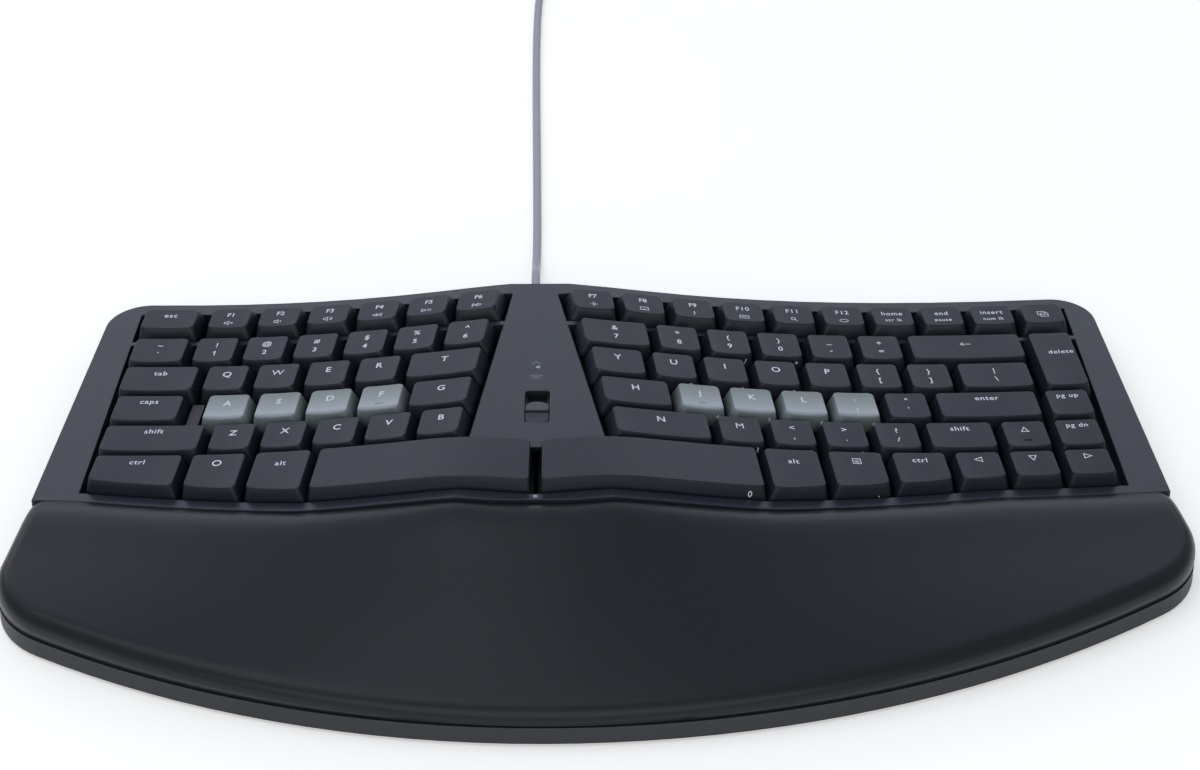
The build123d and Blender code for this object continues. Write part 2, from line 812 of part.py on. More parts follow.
def switch_place(side, a, t):
    """Frame on the wave itself, level with the key tops."""
    slope = math.degrees(math.atan(fall(a + 0.5) - fall(a - 0.5)))
    spot_frame = Location((side * a, t, crest_height - fall(a)), (0, side * slope, 0))
    return half_frame(side) * spot_frame


def switch_spots(side):
    """Distance out and column position of every switch of a half."""
    out = []
    for k in all_keys:
        if k.side == side:
            a = (k.start + k.stop) / 2
            out.append((a, (k.rear + k.front(a)) / 2))
    return out + [(space_stem, thumb_row_middle)]


def switch_body():
    """Housing of one switch, standing on its board, with the well that its stem slides in."""
    low = board_drop - switch_seat
    high = plate_drop - switch_head
    box = Pos(0, 0, -low) * Box(switch_width, switch_depth, low - high, align=upright)
    well = Box(stem_width + 2 * stem_clearance, stem_depth + 2 * stem_clearance, low - well_floor,
               align=hanging)
    return box - well


def switches():
    """All switch housings of both halves."""
    body = switch_body()
    spots = [(side, a, t) for side in (-1, 1) for a, t in switch_spots(side)]
    return Compound([switch_place(*place) * body for place in spots])


def plate(side):
    """Wavy plate that the switches pass through, seated under the skirts."""
    sheet = offset(field(side), plate_seat, kind=Kind.INTERSECTION)
    hole = Rectangle(switch_width + 2 * switch_slack, switch_depth + 2 * switch_slack)
    level = plate_drop + plate_thickness / 2
    for a, t in switch_spots(side):
        p = (switch_place(side, a, t) * Location((0, 0, -level))).position
        sheet -= Pos(p.X, p.Y) * Rot(0, 0, side * splay) * hole
    band = wave_band(side, plate_drop, plate_thickness, -wedge_offset * 2, reach[side])
    return extrude(sheet, crest_height) & band


def board(side):
    """Circuit board under the switches of a half."""
    band = wave_band(side, board_drop, board_thickness, -wedge_offset * 2, reach[side])
    return extrude(field(side), crest_height) & band


def filler_block():
    """Small fixed block that closes the gap beside the caps lock key."""
    out = []
    for side, a, t in all_fillers:
        low = plate_drop - switch_seat
        depth = key_pitch - cap_gap - 2 * cap_front_taper
        block = Box(filler_width * key_pitch, depth, low - bezel_drop + filler_rise, align=upright)
        out.append(switch_place(side, a, t) * Pos(0, 0, -low) * block)
    return out[0]


def controller_posts():
    """Where the controller board's posts stand."""
    x, y = controller_spot
    dx = controller_length / 2 - boss_radius
    dy = controller_width / 2 - boss_radius
    return [(x + sx * dx, y + sy * dy) for sx in (-1, 1) for sy in (-1, 1)]


def controller():
    """Controller board on its posts with its cord connector and main chip."""
    x, y = controller_spot
    level = inner_floor + controller_rise
    top = level + controller_thickness
    base = Pos(x, y, level) * Box(controller_length, controller_width, controller_thickness, align=upright)
    socket = Box(socket_width, socket_depth, socket_height, align=upright)
    base += Pos(cord_x, y + controller_width / 4, top) * socket
    chip = Box(chip_width, chip_width, chip_height, align=upright)
    return base + Pos(x + controller_length / 4, y, top) * chip


def battery():
    """Flat cell on the floor under the palm rest."""
    cell = Box(battery_length, battery_width, battery_thickness, align=upright)
    cell = fillet(cell.edges().filter_by(Axis.X), battery_round)
    return Pos(*battery_spot, inner_floor) * cell


# Mode switch and lights

def mode_body():
    """Switch block under the slot, with the track that the knob's tail runs in."""
    y = block_y + slot_rear - slot_length / 2
    top = bezel_height - roof_wall
    block = Box(switch_body_width, switch_body_length, switch_body_height, align=hanging)
    track = Box(slot_width - track_ledge, slot_length, knob_tail + knob_clearance, align=hanging)
    return Pos(wedge_x, y, top) * (block - track)


def mode_knob():
    """Sliding knob at the front end of its slot."""
    y = block_y + slot_rear - slot_length + knob_clearance + knob_length / 2
    low = bezel_height - roof_wall + knob_clearance / 3
    high = bezel_height + knob_rise
    width = slot_width - 2 * knob_clearance
    head = Box(width, knob_length, high - low, align=upright)
    head = fillet(head.edges().filter_by(Axis.Z), well_corner - knob_clearance)
    groove = Box(2 * width, knob_groove_width, 2 * knob_groove_depth)
    head -= Pos(0, knob_length * (0.5 - knob_groove_place), high - low) * groove
    tail = Box(width - track_ledge, knob_length - track_ledge, knob_tail, align=hanging)
    return Pos(wedge_x, y, low) * (head + tail)


def light_pipes():
    """Two small lenses: one in the wedge and one in the front strip."""
    pipe = Cylinder(light_radius, roof_wall + 2 * light_rise, align=hanging)
    return Compound([Pos(x, y, bezel_height + light_rise) * pipe for x, y in light_spots])


# Screws

def screws():
    """Screws that hold the upper shells down, from under the floor."""
    head = Cylinder(screw_head_radius, screw_head_height, align=upright)
    shank = Cylinder(screw_radius, screw_length + screw_head_height, align=upright)
    socket = Cylinder(screw_head_radius * screw_socket_share, screw_head_height)
    screw = head + shank - socket
    return Compound([Pos(x, y, foot_height) * screw for x, y in case_bosses + palm_bosses])


# Cord

def relief():
    """Tapered strain relief with a flange inside the rear wall."""
    cone = Cone(relief_radius, cord_diameter / 2 + relief_lip, relief_length)
    neck = Cylinder(relief_radius, case_wall)
    flange = Cylinder(relief_flange, relief_flange_thickness)
    y_neck = rear_wall - case_wall / 2
    y_flange = rear_wall - case_wall - relief_flange_thickness / 2
    body = Pos(0, rear_wall + relief_length / 2, 0) * Rot(-90, 0, 0) * cone
    body += Pos(0, y_neck, 0) * Rot(90, 0, 0) * neck
    body += Pos(0, y_flange, 0) * Rot(90, 0, 0) * flange
    return Pos(cord_x, 0, cord_exit_height) * body


def bend_radii(points):
    """Largest bend that the runs on both sides of each point allow."""
    spots = [Vector(*p) for p in points]
    out = []
    for a, b, c in zip(spots, spots[1:], spots[2:]):
        first = b - a
        second = c - b
        turn = math.radians(first.get_angle(second))
        out.append(0.45 * min(first.length, second.length) / math.tan(turn / 2))
    return out


def tube(path, start, direction):
    """Round cord along a path."""
    return sweep(Plane(origin=start, z_dir=direction) * Circle(cord_diameter / 2), path=path)


def laid_cord(points, name):
    """Tube through hand-chosen points, with its bends and volume printed."""
    radii = bend_radii(points)
    path = FilletPolyline(*points, radius=radii)
    start = Vector(*points[0])
    solid = tube(path, start, Vector(*points[1]) - start)
    print(name, "bend radii", [round(r, 1) for r in radii], "length", round(path.length, 1))
    ratio = solid.volume / (math.pi * cord_diameter ** 2 / 4 * path.length)
    print(name, "volume over section times length", round(ratio, 4))
    return solid


def coil_station(quarter):
    """Radius, height and direction of the coil's ideal winding after some quarter turns."""
    per_layer = 4 * coil_turns_per_layer
    layer, step = divmod(quarter, per_layer + 2)
    spiral = min(step, per_layer)
    climb = (step - spiral) / 2
    inward = spiral if layer % 2 == 0 else per_layer - spiral
    radius = coil_outer_radius - coil_pitch * inward / 4
    height = coil_level + coil_pitch * (layer + climb)
    angle = math.radians(-90 + 90 * quarter)
    return radius, height, angle


def coil_point(quarter):
    """Point on the winding."""
    radius, height, angle = coil_station(quarter)
    x, y = coil_centre
    return Vector(x + radius * math.cos(angle), y + radius * math.sin(angle), height)


def coil_heading(quarter, last):
    """Direction of the winding, level at its two ends."""
    angle = coil_station(quarter)[2]
    flat = Vector(-math.sin(angle), math.cos(angle), 0)
    if quarter in (0, last):
        return flat
    step = coil_point(quarter + 1) - coil_point(quarter - 1)
    radial = Vector(math.cos(angle), math.sin(angle), 0)
    along = coil_station(quarter)[0] * math.pi
    drift = coil_station(quarter + 1)[0] - coil_station(quarter - 1)[0]
    return (flat * along + radial * drift + Vector(0, 0, step.Z)).normalized()


def biarc(p0, t0, p1, t1):
    """Two tangent arcs between two points with given directions."""
    v = p1 - p0
    t = t0 + t1
    spread = 2 * (1 - t0.dot(t1))
    reach_out = (-v.dot(t) + math.sqrt(v.dot(t) ** 2 + spread * v.dot(v))) / spread
    joint = (p0 + p1 + (t0 - t1) * reach_out) * 0.5
    first = TangentArc(p0, joint, tangent=t0)
    return [first, TangentArc(joint, p1, tangent=first % 1)]


def coil():
    """One unbroken tube wound in and out again in level layers, with straight ends."""
    last = coil_layers * (4 * coil_turns_per_layer + 2) - 2
    start = coil_point(0)
    stop = coil_point(last)
    edges = [Line(start - coil_heading(0, last) * cord_diameter, start)]
    for q in range(last):
        ahead = coil_heading(q + 1, last)
        edges += biarc(coil_point(q), coil_heading(q, last), coil_point(q + 1), ahead)
    edges.append(Line(stop, stop + coil_heading(last, last) * cord_diameter))
    path = Wire(edges)
    solid = tube(path, start - coil_heading(0, last) * cord_diameter, coil_heading(0, last))
    print("coil loops", last / 4, "length", round(path.length, 1))
    ratio = solid.volume / (math.pi * cord_diameter ** 2 / 4 * path.length)
    print("coil volume over section times length", round(ratio, 4))
    print("coil least gap to itself", round(least_gap(edges), 2))
    return solid


def least_gap(edges):
    """Smallest clear distance between stretches of the winding that aren't neighbours."""
    samples = []
    travelled = 0.0
    for edge in edges:
        count = max(2, int(edge.length / 1.2))
        for i in range(count):
            p = edge @ (i / count)
            samples.append((travelled + edge.length * i / count, p.X, p.Y, p.Z))
        travelled += edge.length
    best = 1e9
    skip = math.pi * coil_inner_radius
    for i, (s, x, y, z) in enumerate(samples):
        for r, u, v, w in samples[i + 1:]:
            if r - s > skip:
                best = min(best, (x - u) ** 2 + (y - v) ** 2 + (z - w) ** 2)
    return math.sqrt(best) - cord_diameter


def coil_tie():
    """Band round the coil's bundle."""
    wide = coil_pitch * coil_turns_per_layer + cord_diameter + 2 * tie_clearance
    tall = coil_pitch * (coil_layers - 1) + cord_diameter + 2 * tie_clearance
    middle = coil_inner_radius + coil_pitch * coil_turns_per_layer / 2
    centre_z = coil_level + coil_pitch * (coil_layers - 1) / 2
    ring = RectangleRounded(wide + 2 * tie_thickness, tall + 2 * tie_thickness, tie_corner)
    ring -= RectangleRounded(wide, tall, tie_corner - tie_thickness)
    band = extrude(Plane.XZ * ring, tie_width / 2, both=True)
    x, y = coil_centre
    return Pos(x + middle, y, centre_z) * band


def plug_overmold():
    """Grip of the plug with the short sleeve that the cord comes out of."""
    grip = Box(plug_length, plug_width, plug_height)
    grip = fillet(grip.edges().filter_by(Axis.X), plug_round)
    sleeve = Rot(0, 90, 0) * Cone(cord_diameter, cord_diameter / 2 + relief_lip, plug_sleeve)
    grip += Pos(plug_length / 2 + plug_sleeve / 2, 0, 0) * sleeve
    return Pos(*plug_spot) * Pos(-plug_length / 2 - plug_sleeve, 0, 0) * grip


def plug_shell():
    """Hollow metal shell of the plug with its contact tongue."""
    wide = plug_shell_width - 2 * plug_shell_wall
    tall = plug_shell_height - 2 * plug_shell_wall
    shell = Box(plug_shell_length, plug_shell_width, plug_shell_height)
    shell -= Pos(-plug_shell_wall, 0, 0) * Box(plug_shell_length, wide, tall)
    tongue = Box(plug_shell_length - 2 * plug_shell_wall, wide, tall * plug_tongue_share, align=upright)
    shell += Pos(plug_shell_wall, 0, plug_shell_wall - plug_shell_height / 2) * tongue
    back = plug_sleeve + plug_length + plug_shell_length / 2
    return Pos(*plug_spot) * Pos(-back, 0, 0) * shell


# Places worked out from the sizes

all_keys, all_fillers = make_keys()
reach = {side: outer_wall(side, 0) + strip for side, strip in strips.items()}
palm_left_x = -reach[-1] - palm_left_flare
palm_right_x = reach[1] + palm_right_flare
thumb_row_middle = (thumb_rear + thumb_front(0)) / 2
space_stem = thumb_slant_start / 2 - wedge_offset / 2
case_bosses = []
for side in (-1, 1):
    post_line = (outer_wall(side, 0) + skirt_wall + reach[side] - case_wall) / 2
    for t in (rear_reach - 1.3 * case_corner, thumb_rear):
        post = spot(side, post_line, t)
        case_bosses.append((post.X, post.Y))
case_bosses.append((wedge_x, block_y + row_centre(1)))
palm_bosses = [(wedge_x + x, block_y + palm_front + rise) for x, rise in palm_boss_places]
tilt_axis_z = hinge_radius + hinge_lift
tilt_axis_y = tilt_foot_length / 2 - hinge_radius - hinge_edge
tilt_top = tilt_axis_z + tilt_foot_thickness / 2 + tilt_foot_clearance
controller_spot = (wedge_x, block_y + controller_place)
battery_spot = (wedge_x, block_y + palm_front + battery_rise)
strip_rear = spot(1, middle_line(thumb_front(0)), thumb_front(0)).Y - well_clearance
light_spots = [(wedge_x, block_y + light_place), (wedge_x, strip_rear - light_radius - light_margin)]
cord_x = wedge_x + cord_offset
rear_wall = spot(1, 0, rear_reach).Y
coil_outer_radius = coil_inner_radius + coil_pitch * coil_turns_per_layer
coil_level = cord_rest + cord_diameter / 2 + tie_thickness + tie_clearance
desk_line = cord_rest + cord_diameter / 2
coil_centre = (14.0, 456.0)

# Cord routes, as points chosen by hand
relief_end = rear_wall + relief_length
lead_points = [
    (cord_x, relief_end, cord_exit_height),
    (cord_x - 0.2, relief_end + 14.0, cord_exit_height),
    (cord_x - 0.4, relief_end + 32.0, desk_line),
    (cord_x - 0.3, relief_end + 62.0, desk_line),
    (-28.6, 398.0, desk_line),
    (-22.5, 416.0, desk_line + 0.4),
    (-6.0, coil_centre[1] - coil_outer_radius, coil_level),
    (coil_centre[0] - cord_diameter, coil_centre[1] - coil_outer_radius, coil_level),
]
coil_top = coil_level + coil_pitch * (coil_layers - 1)
tail_start = coil_centre[0] - cord_diameter
plug_spot = (-40.0, coil_centre[1] + coil_outer_radius - 4.0, plug_height / 2 + cord_rest)
tail_points = [
    (tail_start, coil_centre[1] + coil_outer_radius, coil_top),
    (tail_start - 11.0, coil_centre[1] + coil_outer_radius, coil_top),
    (tail_start - 32.0, coil_centre[1] + coil_outer_radius - 3.8, plug_spot[2] + 0.3),
    (plug_spot[0], plug_spot[1], plug_spot[2]),
]

# Every node of the keyboard
nodes = {
    "base_case": base_case,
    "key_case": key_case,
    "palm_rest": palm_rest,
    "switch_plate_left": lambda: plate(-1),
    "switch_plate_right": lambda: plate(1),
    "circuit_board_left": lambda: board(-1),
    "circuit_board_right": lambda: board(1),
    "switch_bodies": switches,
    "filler_block": filler_block,
    "controller_board": controller,
    "battery": battery,
    "mode_switch_body": mode_body,
    "mode_switch_knob": mode_knob,
    "light_pipes": light_pipes,
    "case_screws": screws,
    "rubber_feet": lambda: Compound([p * foot_solid(foot_recess) for p in foot_places()]),
    "tilt_foot_left": lambda: tilt_places()[0] * tilt_foot(),
    "tilt_foot_right": lambda: tilt_places()[1] * tilt_foot(),
    "space_key_left": lambda: spacebar(-1),
    "space_key_right": lambda: spacebar(1),
    "strain_relief": relief,
    "cord_lead": lambda: laid_cord(lead_points, "lead"),
    "cord_coil": coil,
    "cord_tail": lambda: laid_cord(tail_points, "tail"),
    "coil_tie": coil_tie,
    "plug_overmold": plug_overmold,
    "plug_shell": plug_shell,
}


def key_nodes():
    """Caps gathered by node, with equal shapes made once."""
    shapes = {}
    gathered = {}
    for key in all_keys:
        outline = tuple(round(c, 2) for point in key.quad(0) for c in point)
        if outline not in shapes:
            shapes[outline] = cap_solid(key)
        gathered.setdefault(key.node, []).append(key.place * shapes[outline])
    return {name: caps[0] if len(caps) == 1 else Compound(caps) for name, caps in gathered.items()}


def main():
    """Write one STEP file for each node."""
    os.makedirs("parts", exist_ok=True)
    for name, make in nodes.items():
        export_step(make(), f"parts/{name}.step")
    for name, caps in key_nodes().items():
        export_step(caps, f"parts/{name}.step")


main()
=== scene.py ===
"""Looks of a wave-shaped, split-layout keyboard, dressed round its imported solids."""
from __future__ import annotations

import json
import logging
import math
from dataclasses import dataclass, field
from enum import Enum
from typing import Callable, Dict, Iterable, List, Optional, Sequence, Tuple

import bpy
import numpy as np
from mathutils import Matrix, Vector

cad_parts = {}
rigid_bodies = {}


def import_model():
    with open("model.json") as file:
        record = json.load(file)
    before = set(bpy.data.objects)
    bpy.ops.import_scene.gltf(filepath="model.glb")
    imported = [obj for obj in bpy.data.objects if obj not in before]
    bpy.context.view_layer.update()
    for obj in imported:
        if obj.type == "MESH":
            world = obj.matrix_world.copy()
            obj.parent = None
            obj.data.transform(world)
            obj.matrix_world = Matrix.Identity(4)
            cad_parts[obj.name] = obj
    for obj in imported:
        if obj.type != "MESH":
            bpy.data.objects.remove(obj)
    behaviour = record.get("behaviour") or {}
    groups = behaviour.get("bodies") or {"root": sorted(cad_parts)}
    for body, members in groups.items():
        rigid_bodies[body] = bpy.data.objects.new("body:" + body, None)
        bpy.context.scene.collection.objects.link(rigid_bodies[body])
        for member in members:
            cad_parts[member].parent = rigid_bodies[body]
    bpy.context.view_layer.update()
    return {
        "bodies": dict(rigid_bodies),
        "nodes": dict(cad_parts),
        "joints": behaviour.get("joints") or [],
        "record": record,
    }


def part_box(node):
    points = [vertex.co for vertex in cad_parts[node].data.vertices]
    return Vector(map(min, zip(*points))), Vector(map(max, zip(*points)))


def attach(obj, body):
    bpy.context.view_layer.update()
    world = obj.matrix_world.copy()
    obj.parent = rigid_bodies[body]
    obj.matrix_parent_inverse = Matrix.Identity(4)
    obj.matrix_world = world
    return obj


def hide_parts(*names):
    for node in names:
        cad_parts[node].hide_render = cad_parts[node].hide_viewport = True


LOG = logging.getLogger("keyboard")
MM = 0.001
BODY = "keyboard_body"
TOP_ROWS = 7
Array = np.ndarray
Solid = Tuple[Array, List[Sequence[int]]]
Line = Tuple[Tuple[float, float], ...]
Triple = Tuple[float, float, float]


class Half(Enum):
    """The two halves of the key field, by the sign of their outward direction."""

    LEFT = -1
    RIGHT = 1


class Face(Enum):
    """Where on a keycap a print sits."""

    TOP = "top"
    FRONT = "front"


def srgb(red: float, green: float, blue: float) -> Tuple[float, float, float, float]:
    """Linear colour of display values from 0 to 255.

    Args:
        red: Red.
        green: Green.
        blue: Blue.

    Returns:
        The colour with full opacity.
    """
    out = []
    for value in (red, green, blue):
        c = value / 255
        out.append(c / 12.92 if c <= 0.04045 else ((c + 0.055) / 1.055) ** 2.4)
    return out[0], out[1], out[2], 1.0


# Finishes


class Graph:
    """A material's node tree, with short ways to add nodes to it."""

    def __init__(self, material: bpy.types.Material) -> None:
        """Start on the material's own tree.

        Args:
            material: A new material.
        """
        material.use_nodes = True
        self.nodes = material.node_tree.nodes
        self.links = material.node_tree.links
        self.shader = self.nodes["Principled BSDF"]

    def feed(self, node: bpy.types.Node, inputs: Dict[object, object]) -> None:
        """Set inputs of a node.

        Args:
            node: The node.
            inputs: A value or another node's output for each input, by name or number.
        """
        for key, value in inputs.items():
            if isinstance(value, bpy.types.NodeSocket):
                self.links.new(value, node.inputs[key])
            else:
                node.inputs[key].default_value = value

    def add(self, kind: str, inputs: Dict[object, object], output: object = 0,
            **settings: object) -> bpy.types.NodeSocket:
        """Add a node.

        Args:
            kind: Its type, without ShaderNode.
            inputs: A value or another node's output for each input.
            output: Name or number of the output that is wanted.
            settings: The node's own settings.

        Returns:
            The output socket.
        """
        node = self.nodes.new("ShaderNode" + kind)
        for key, value in settings.items():
            setattr(node, key, value)
        self.feed(node, inputs)
        return node.outputs[output]

    def reckon(self, operation: str, *values: object) -> bpy.types.NodeSocket:
        """Result of a sum on values or sockets."""
        return self.add("Math", dict(enumerate(values)), operation=operation)

    def mix(self, first: object, second: object, share: object) -> bpy.types.NodeSocket:
        """Colour between two, by a share."""
        return self.add("Mix", {"A": first, "B": second, "Factor": share}, "Result", data_type="RGBA")


@dataclass(frozen=True)
class Finish:
    """One finish as a procedural material.

    The colour is a base tone broken up by soft clouds, the roughness follows a second, finer
    pattern, and the grain is a bump of the size that the moulding texture has.
    """

    name: str
    tone: Triple
    # Second tone: soft clouds, except on home caps, where it is painted shade for their sides and front
    # faces.
    cloud_and_shade_tone: Triple
    roughness: float = 0.5
    roughness_swing: float = 0.06
    roughness_scale: float = 0.2
    cloud_size: float = 0.03
    grain_size: float = 0.0005
    grain_height: float = 0.00001
    metallic: float = 0.0
    coat: float = 0.0
    coat_roughness: float = 0.3
    specular: float = 0.5
    edge_round: float = 0.0
    subsurface: float = 0.0
    subsurface_reach: Triple = (0.6, 1.0, 0.9)
    subsurface_scale: float = 0.002

    def build(self) -> bpy.types.Material:
        """Make the material with its nodes.

        Returns:
            The material.
        """
        mat = bpy.data.materials.new(self.name)
        graph = Graph(mat)
        place = graph.nodes.new("ShaderNodeTexCoord").outputs
        fine = graph.add("TexNoise", {"Scale": self.roughness_scale / self.grain_size, "Detail": 2.0,
                                      "Vector": place["Object"]}, "Fac")
        rough = graph.add("MapRange", {"To Min": self.roughness - self.roughness_swing,
                                       "To Max": self.roughness + self.roughness_swing,
                                       "Value": fine}, "Result")
        graph.feed(graph.shader, {"Base Color": self.colour(graph, place), "Roughness": rough,
                                  "Metallic": self.metallic, "Coat Weight": self.coat,
                                  "Coat Roughness": self.coat_roughness,
                                  "Specular IOR Level": self.specular, "Normal": self.grain(graph, place)})
        if self.subsurface > 0:
            graph.feed(graph.shader, {"Subsurface Weight": self.subsurface,
                                      "Subsurface Radius": self.subsurface_reach,
                                      "Subsurface Scale": self.subsurface_scale})
        return mat

    def colour(self, graph: Graph, place: bpy.types.NodeOutputs) -> bpy.types.NodeSocket:
        """Base tone with clouds.

        Args:
            graph: The material's nodes.
            place: Texture coordinates.

        Returns:
            The colour socket.
        """
        cloud = graph.add("TexNoise", {"Scale": 1 / self.cloud_size, "Detail": 4.0,
                                       "Vector": place["Object"]}, "Fac")
        return graph.mix(srgb(*self.tone), srgb(*self.cloud_and_shade_tone), cloud)

    def grain(self, graph: Graph, place: bpy.types.NodeOutputs) -> bpy.types.NodeSocket:
        """Fine moulded grain, over rounded edges where the finish asks for them.

        Args:
            graph: The material's nodes.
            place: Texture coordinates.

        Returns:
            The normal socket.
        """
        dots = graph.add("TexVoronoi", {"Scale": 1 / self.grain_size, "Vector": place["Object"]}, "Distance")
        inputs = {"Distance": self.grain_height, "Strength": 1.0, "Height": dots}
        if self.edge_round > 0:
            inputs["Normal"] = graph.add("Bevel", {"Radius": self.edge_round}, samples=6)
        return graph.add("Bump", inputs)


@dataclass(frozen=True)
class HomeCapFinish(Finish):
    """Grey-green home keycap, a little clear; its top is darker at the rear and paler towards its front, and
    painted shade darkens its sides and front face.
    """

    front_tone: Triple = (178, 184, 188)
    pale_places: Tuple[float, float] = (0.16, 0.55)
    # Where the painted shade starts and where it is full, by the cap map's distance from the top's middle.
    side_shade_fade: Tuple[float, float] = (0.5, 0.66)

    def colour(self, graph: Graph, place: bpy.types.NodeOutputs) -> bpy.types.NodeSocket:
        """Tone that runs from the rear of the cap to its front, and painted shade that darkens to the
        cloud-and-shade tone down its sides and front face.

        The ramp follows the cap map's Y, and the sides are where the map leaves the top's square.

        Args:
            graph: The material's nodes.
            place: Texture coordinates.

        Returns:
            The colour socket.
        """
        split = graph.nodes.new("ShaderNodeSeparateXYZ")
        graph.feed(split, {"Vector": place["UV"]})
        ramp = graph.nodes.new("ShaderNodeValToRGB")
        for at in self.pale_places:
            ramp.color_ramp.elements.new(at)
        # The front edge's stop, low, lies half way to the shade tone: painted shade that begins down the
        # front face.
        low, high = ([(a + b) / 2 for a, b in zip(tone, self.front_tone)]
                     for tone in (self.cloud_and_shade_tone, self.tone))
        for stop, tone in zip(ramp.color_ramp.elements, (low, self.front_tone, high, self.tone)):
            stop.color = srgb(*tone)
        graph.feed(ramp, {"Fac": split.outputs["Y"]})
        # Painted shade: out of the top's square, on the sides and down the front face, the colour fades to
        # the darker shade tone.
        spans = [graph.reckon("ABSOLUTE", graph.reckon("SUBTRACT", split.outputs[axis], 0.5))
                 for axis in "XY"]
        side = graph.add("MapRange", {"From Min": self.side_shade_fade[0], "From Max": self.side_shade_fade[1],
                                      "Value": graph.reckon("MAXIMUM", *spans)}, "Result")
        return graph.mix(ramp.outputs["Color"], srgb(*self.cloud_and_shade_tone), side)


@dataclass(frozen=True)
class CordFinish(Finish):
    """Smooth extruded jacket, a little uneven in a finer pattern than the moulded grain."""

    noise_size: float = 0.0008

    def grain(self, graph: Graph, place: bpy.types.NodeOutputs) -> bpy.types.NodeSocket:
        """Unevenness of the extruded jacket.

        Args:
            graph: The material's nodes.
            place: Texture coordinates.

        Returns:
            The normal socket.
        """
        noise = graph.add("TexNoise", {"Scale": 1 / self.noise_size, "Detail": 1.0,
                                       "Vector": place["Object"]}, "Fac")
        return graph.add("Bump", {"Distance": self.grain_height, "Height": noise})


@dataclass
class Finishes:
    """All finishes of the keyboard, built once each."""

    cap: Finish = Finish("cap_plastic", (31, 35, 43), (35, 39, 47), roughness=0.38, grain_size=0.00045,
                         grain_height=0.000008, specular=0.34)
    # Home caps: the second tone is painted shade on their sides and front faces.
    home: Finish = HomeCapFinish("home_cap_plastic", (130, 139, 133), (68, 79, 74), roughness=0.4,
                                 grain_size=0.0006, grain_height=0.000005, subsurface=0.1)
    case: Finish = Finish("case_plastic", (35, 39, 48), (39, 43, 52), roughness=0.36, grain_size=0.0004,
                          edge_round=0.0006)
    base: Finish = Finish("base_plastic", (38, 40, 45), (43, 45, 50), roughness=0.5, grain_size=0.0005)
    palm: Finish = Finish("palm_coating", (27, 29, 31), (30, 32, 34), roughness=0.34, roughness_swing=0.03,
                          cloud_size=0.05, grain_size=0.0003, grain_height=0.000003, specular=0.3)
    knob: Finish = Finish("knob_plastic", (50, 52, 60), (54, 56, 64), roughness=0.35, edge_round=0.0004)
    inner: Finish = Finish("switch_plastic", (18, 18, 20), (22, 22, 25), roughness=0.6)
    filler: Finish = Finish("filler_plastic", (36, 38, 43), (40, 42, 47), roughness=0.5, edge_round=0.0004)
    plate: Finish = Finish("plate_steel", (26, 26, 29), (31, 31, 34), roughness=0.55, metallic=0.6)
    board: Finish = Finish("board_laminate", (22, 50, 34), (26, 58, 38), roughness=0.35, coat=0.3)
    cell: Finish = Finish("battery_wrap", (120, 124, 132), (130, 134, 142), roughness=0.4, metallic=0.3)
    screw: Finish = Finish("screw_steel", (120, 121, 124), (140, 141, 144), roughness=0.35, metallic=1.0,
                           edge_round=0.0002)
    rubber: Finish = Finish("foot_rubber", (30, 30, 32), (36, 36, 38), roughness=0.8, edge_round=0.0006)
    lens: Finish = Finish("lens_plastic", (140, 145, 152), (150, 155, 162), roughness=0.2, coat=0.5)
    ink: Finish = Finish("legend_ink", (238, 241, 248), (228, 232, 241), roughness=0.5)
    faint_ink: Finish = Finish("faint_ink", (120, 123, 134), (128, 131, 142), roughness=0.5)
    jacket: Finish = CordFinish("cord_jacket", (168, 168, 175), (176, 176, 183), roughness=0.42,
                                grain_height=0.00001)
    relief: Finish = Finish("relief_rubber", (138, 139, 149), (146, 147, 157), roughness=0.5,
                            edge_round=0.0005)
    tie: Finish = Finish("tie_strap", (40, 41, 45), (47, 48, 52), roughness=0.8, grain_size=0.0008,
                         grain_height=0.00012)
    plug: Finish = Finish("plug_steel", (186, 187, 190), (199, 200, 203), roughness=0.28, metallic=1.0,
                          edge_round=0.0003)
    built: Dict[str, bpy.types.Material] = field(default_factory=dict)

    def get(self, finish: Finish) -> bpy.types.Material:
        """Material of a finish.

        Args:
            finish: One of this class's finishes.

        Returns:
            Its material, made at the first call.
        """
        if finish.name not in self.built:
            self.built[finish.name] = finish.build()
        return self.built[finish.name]


# Plan and wave


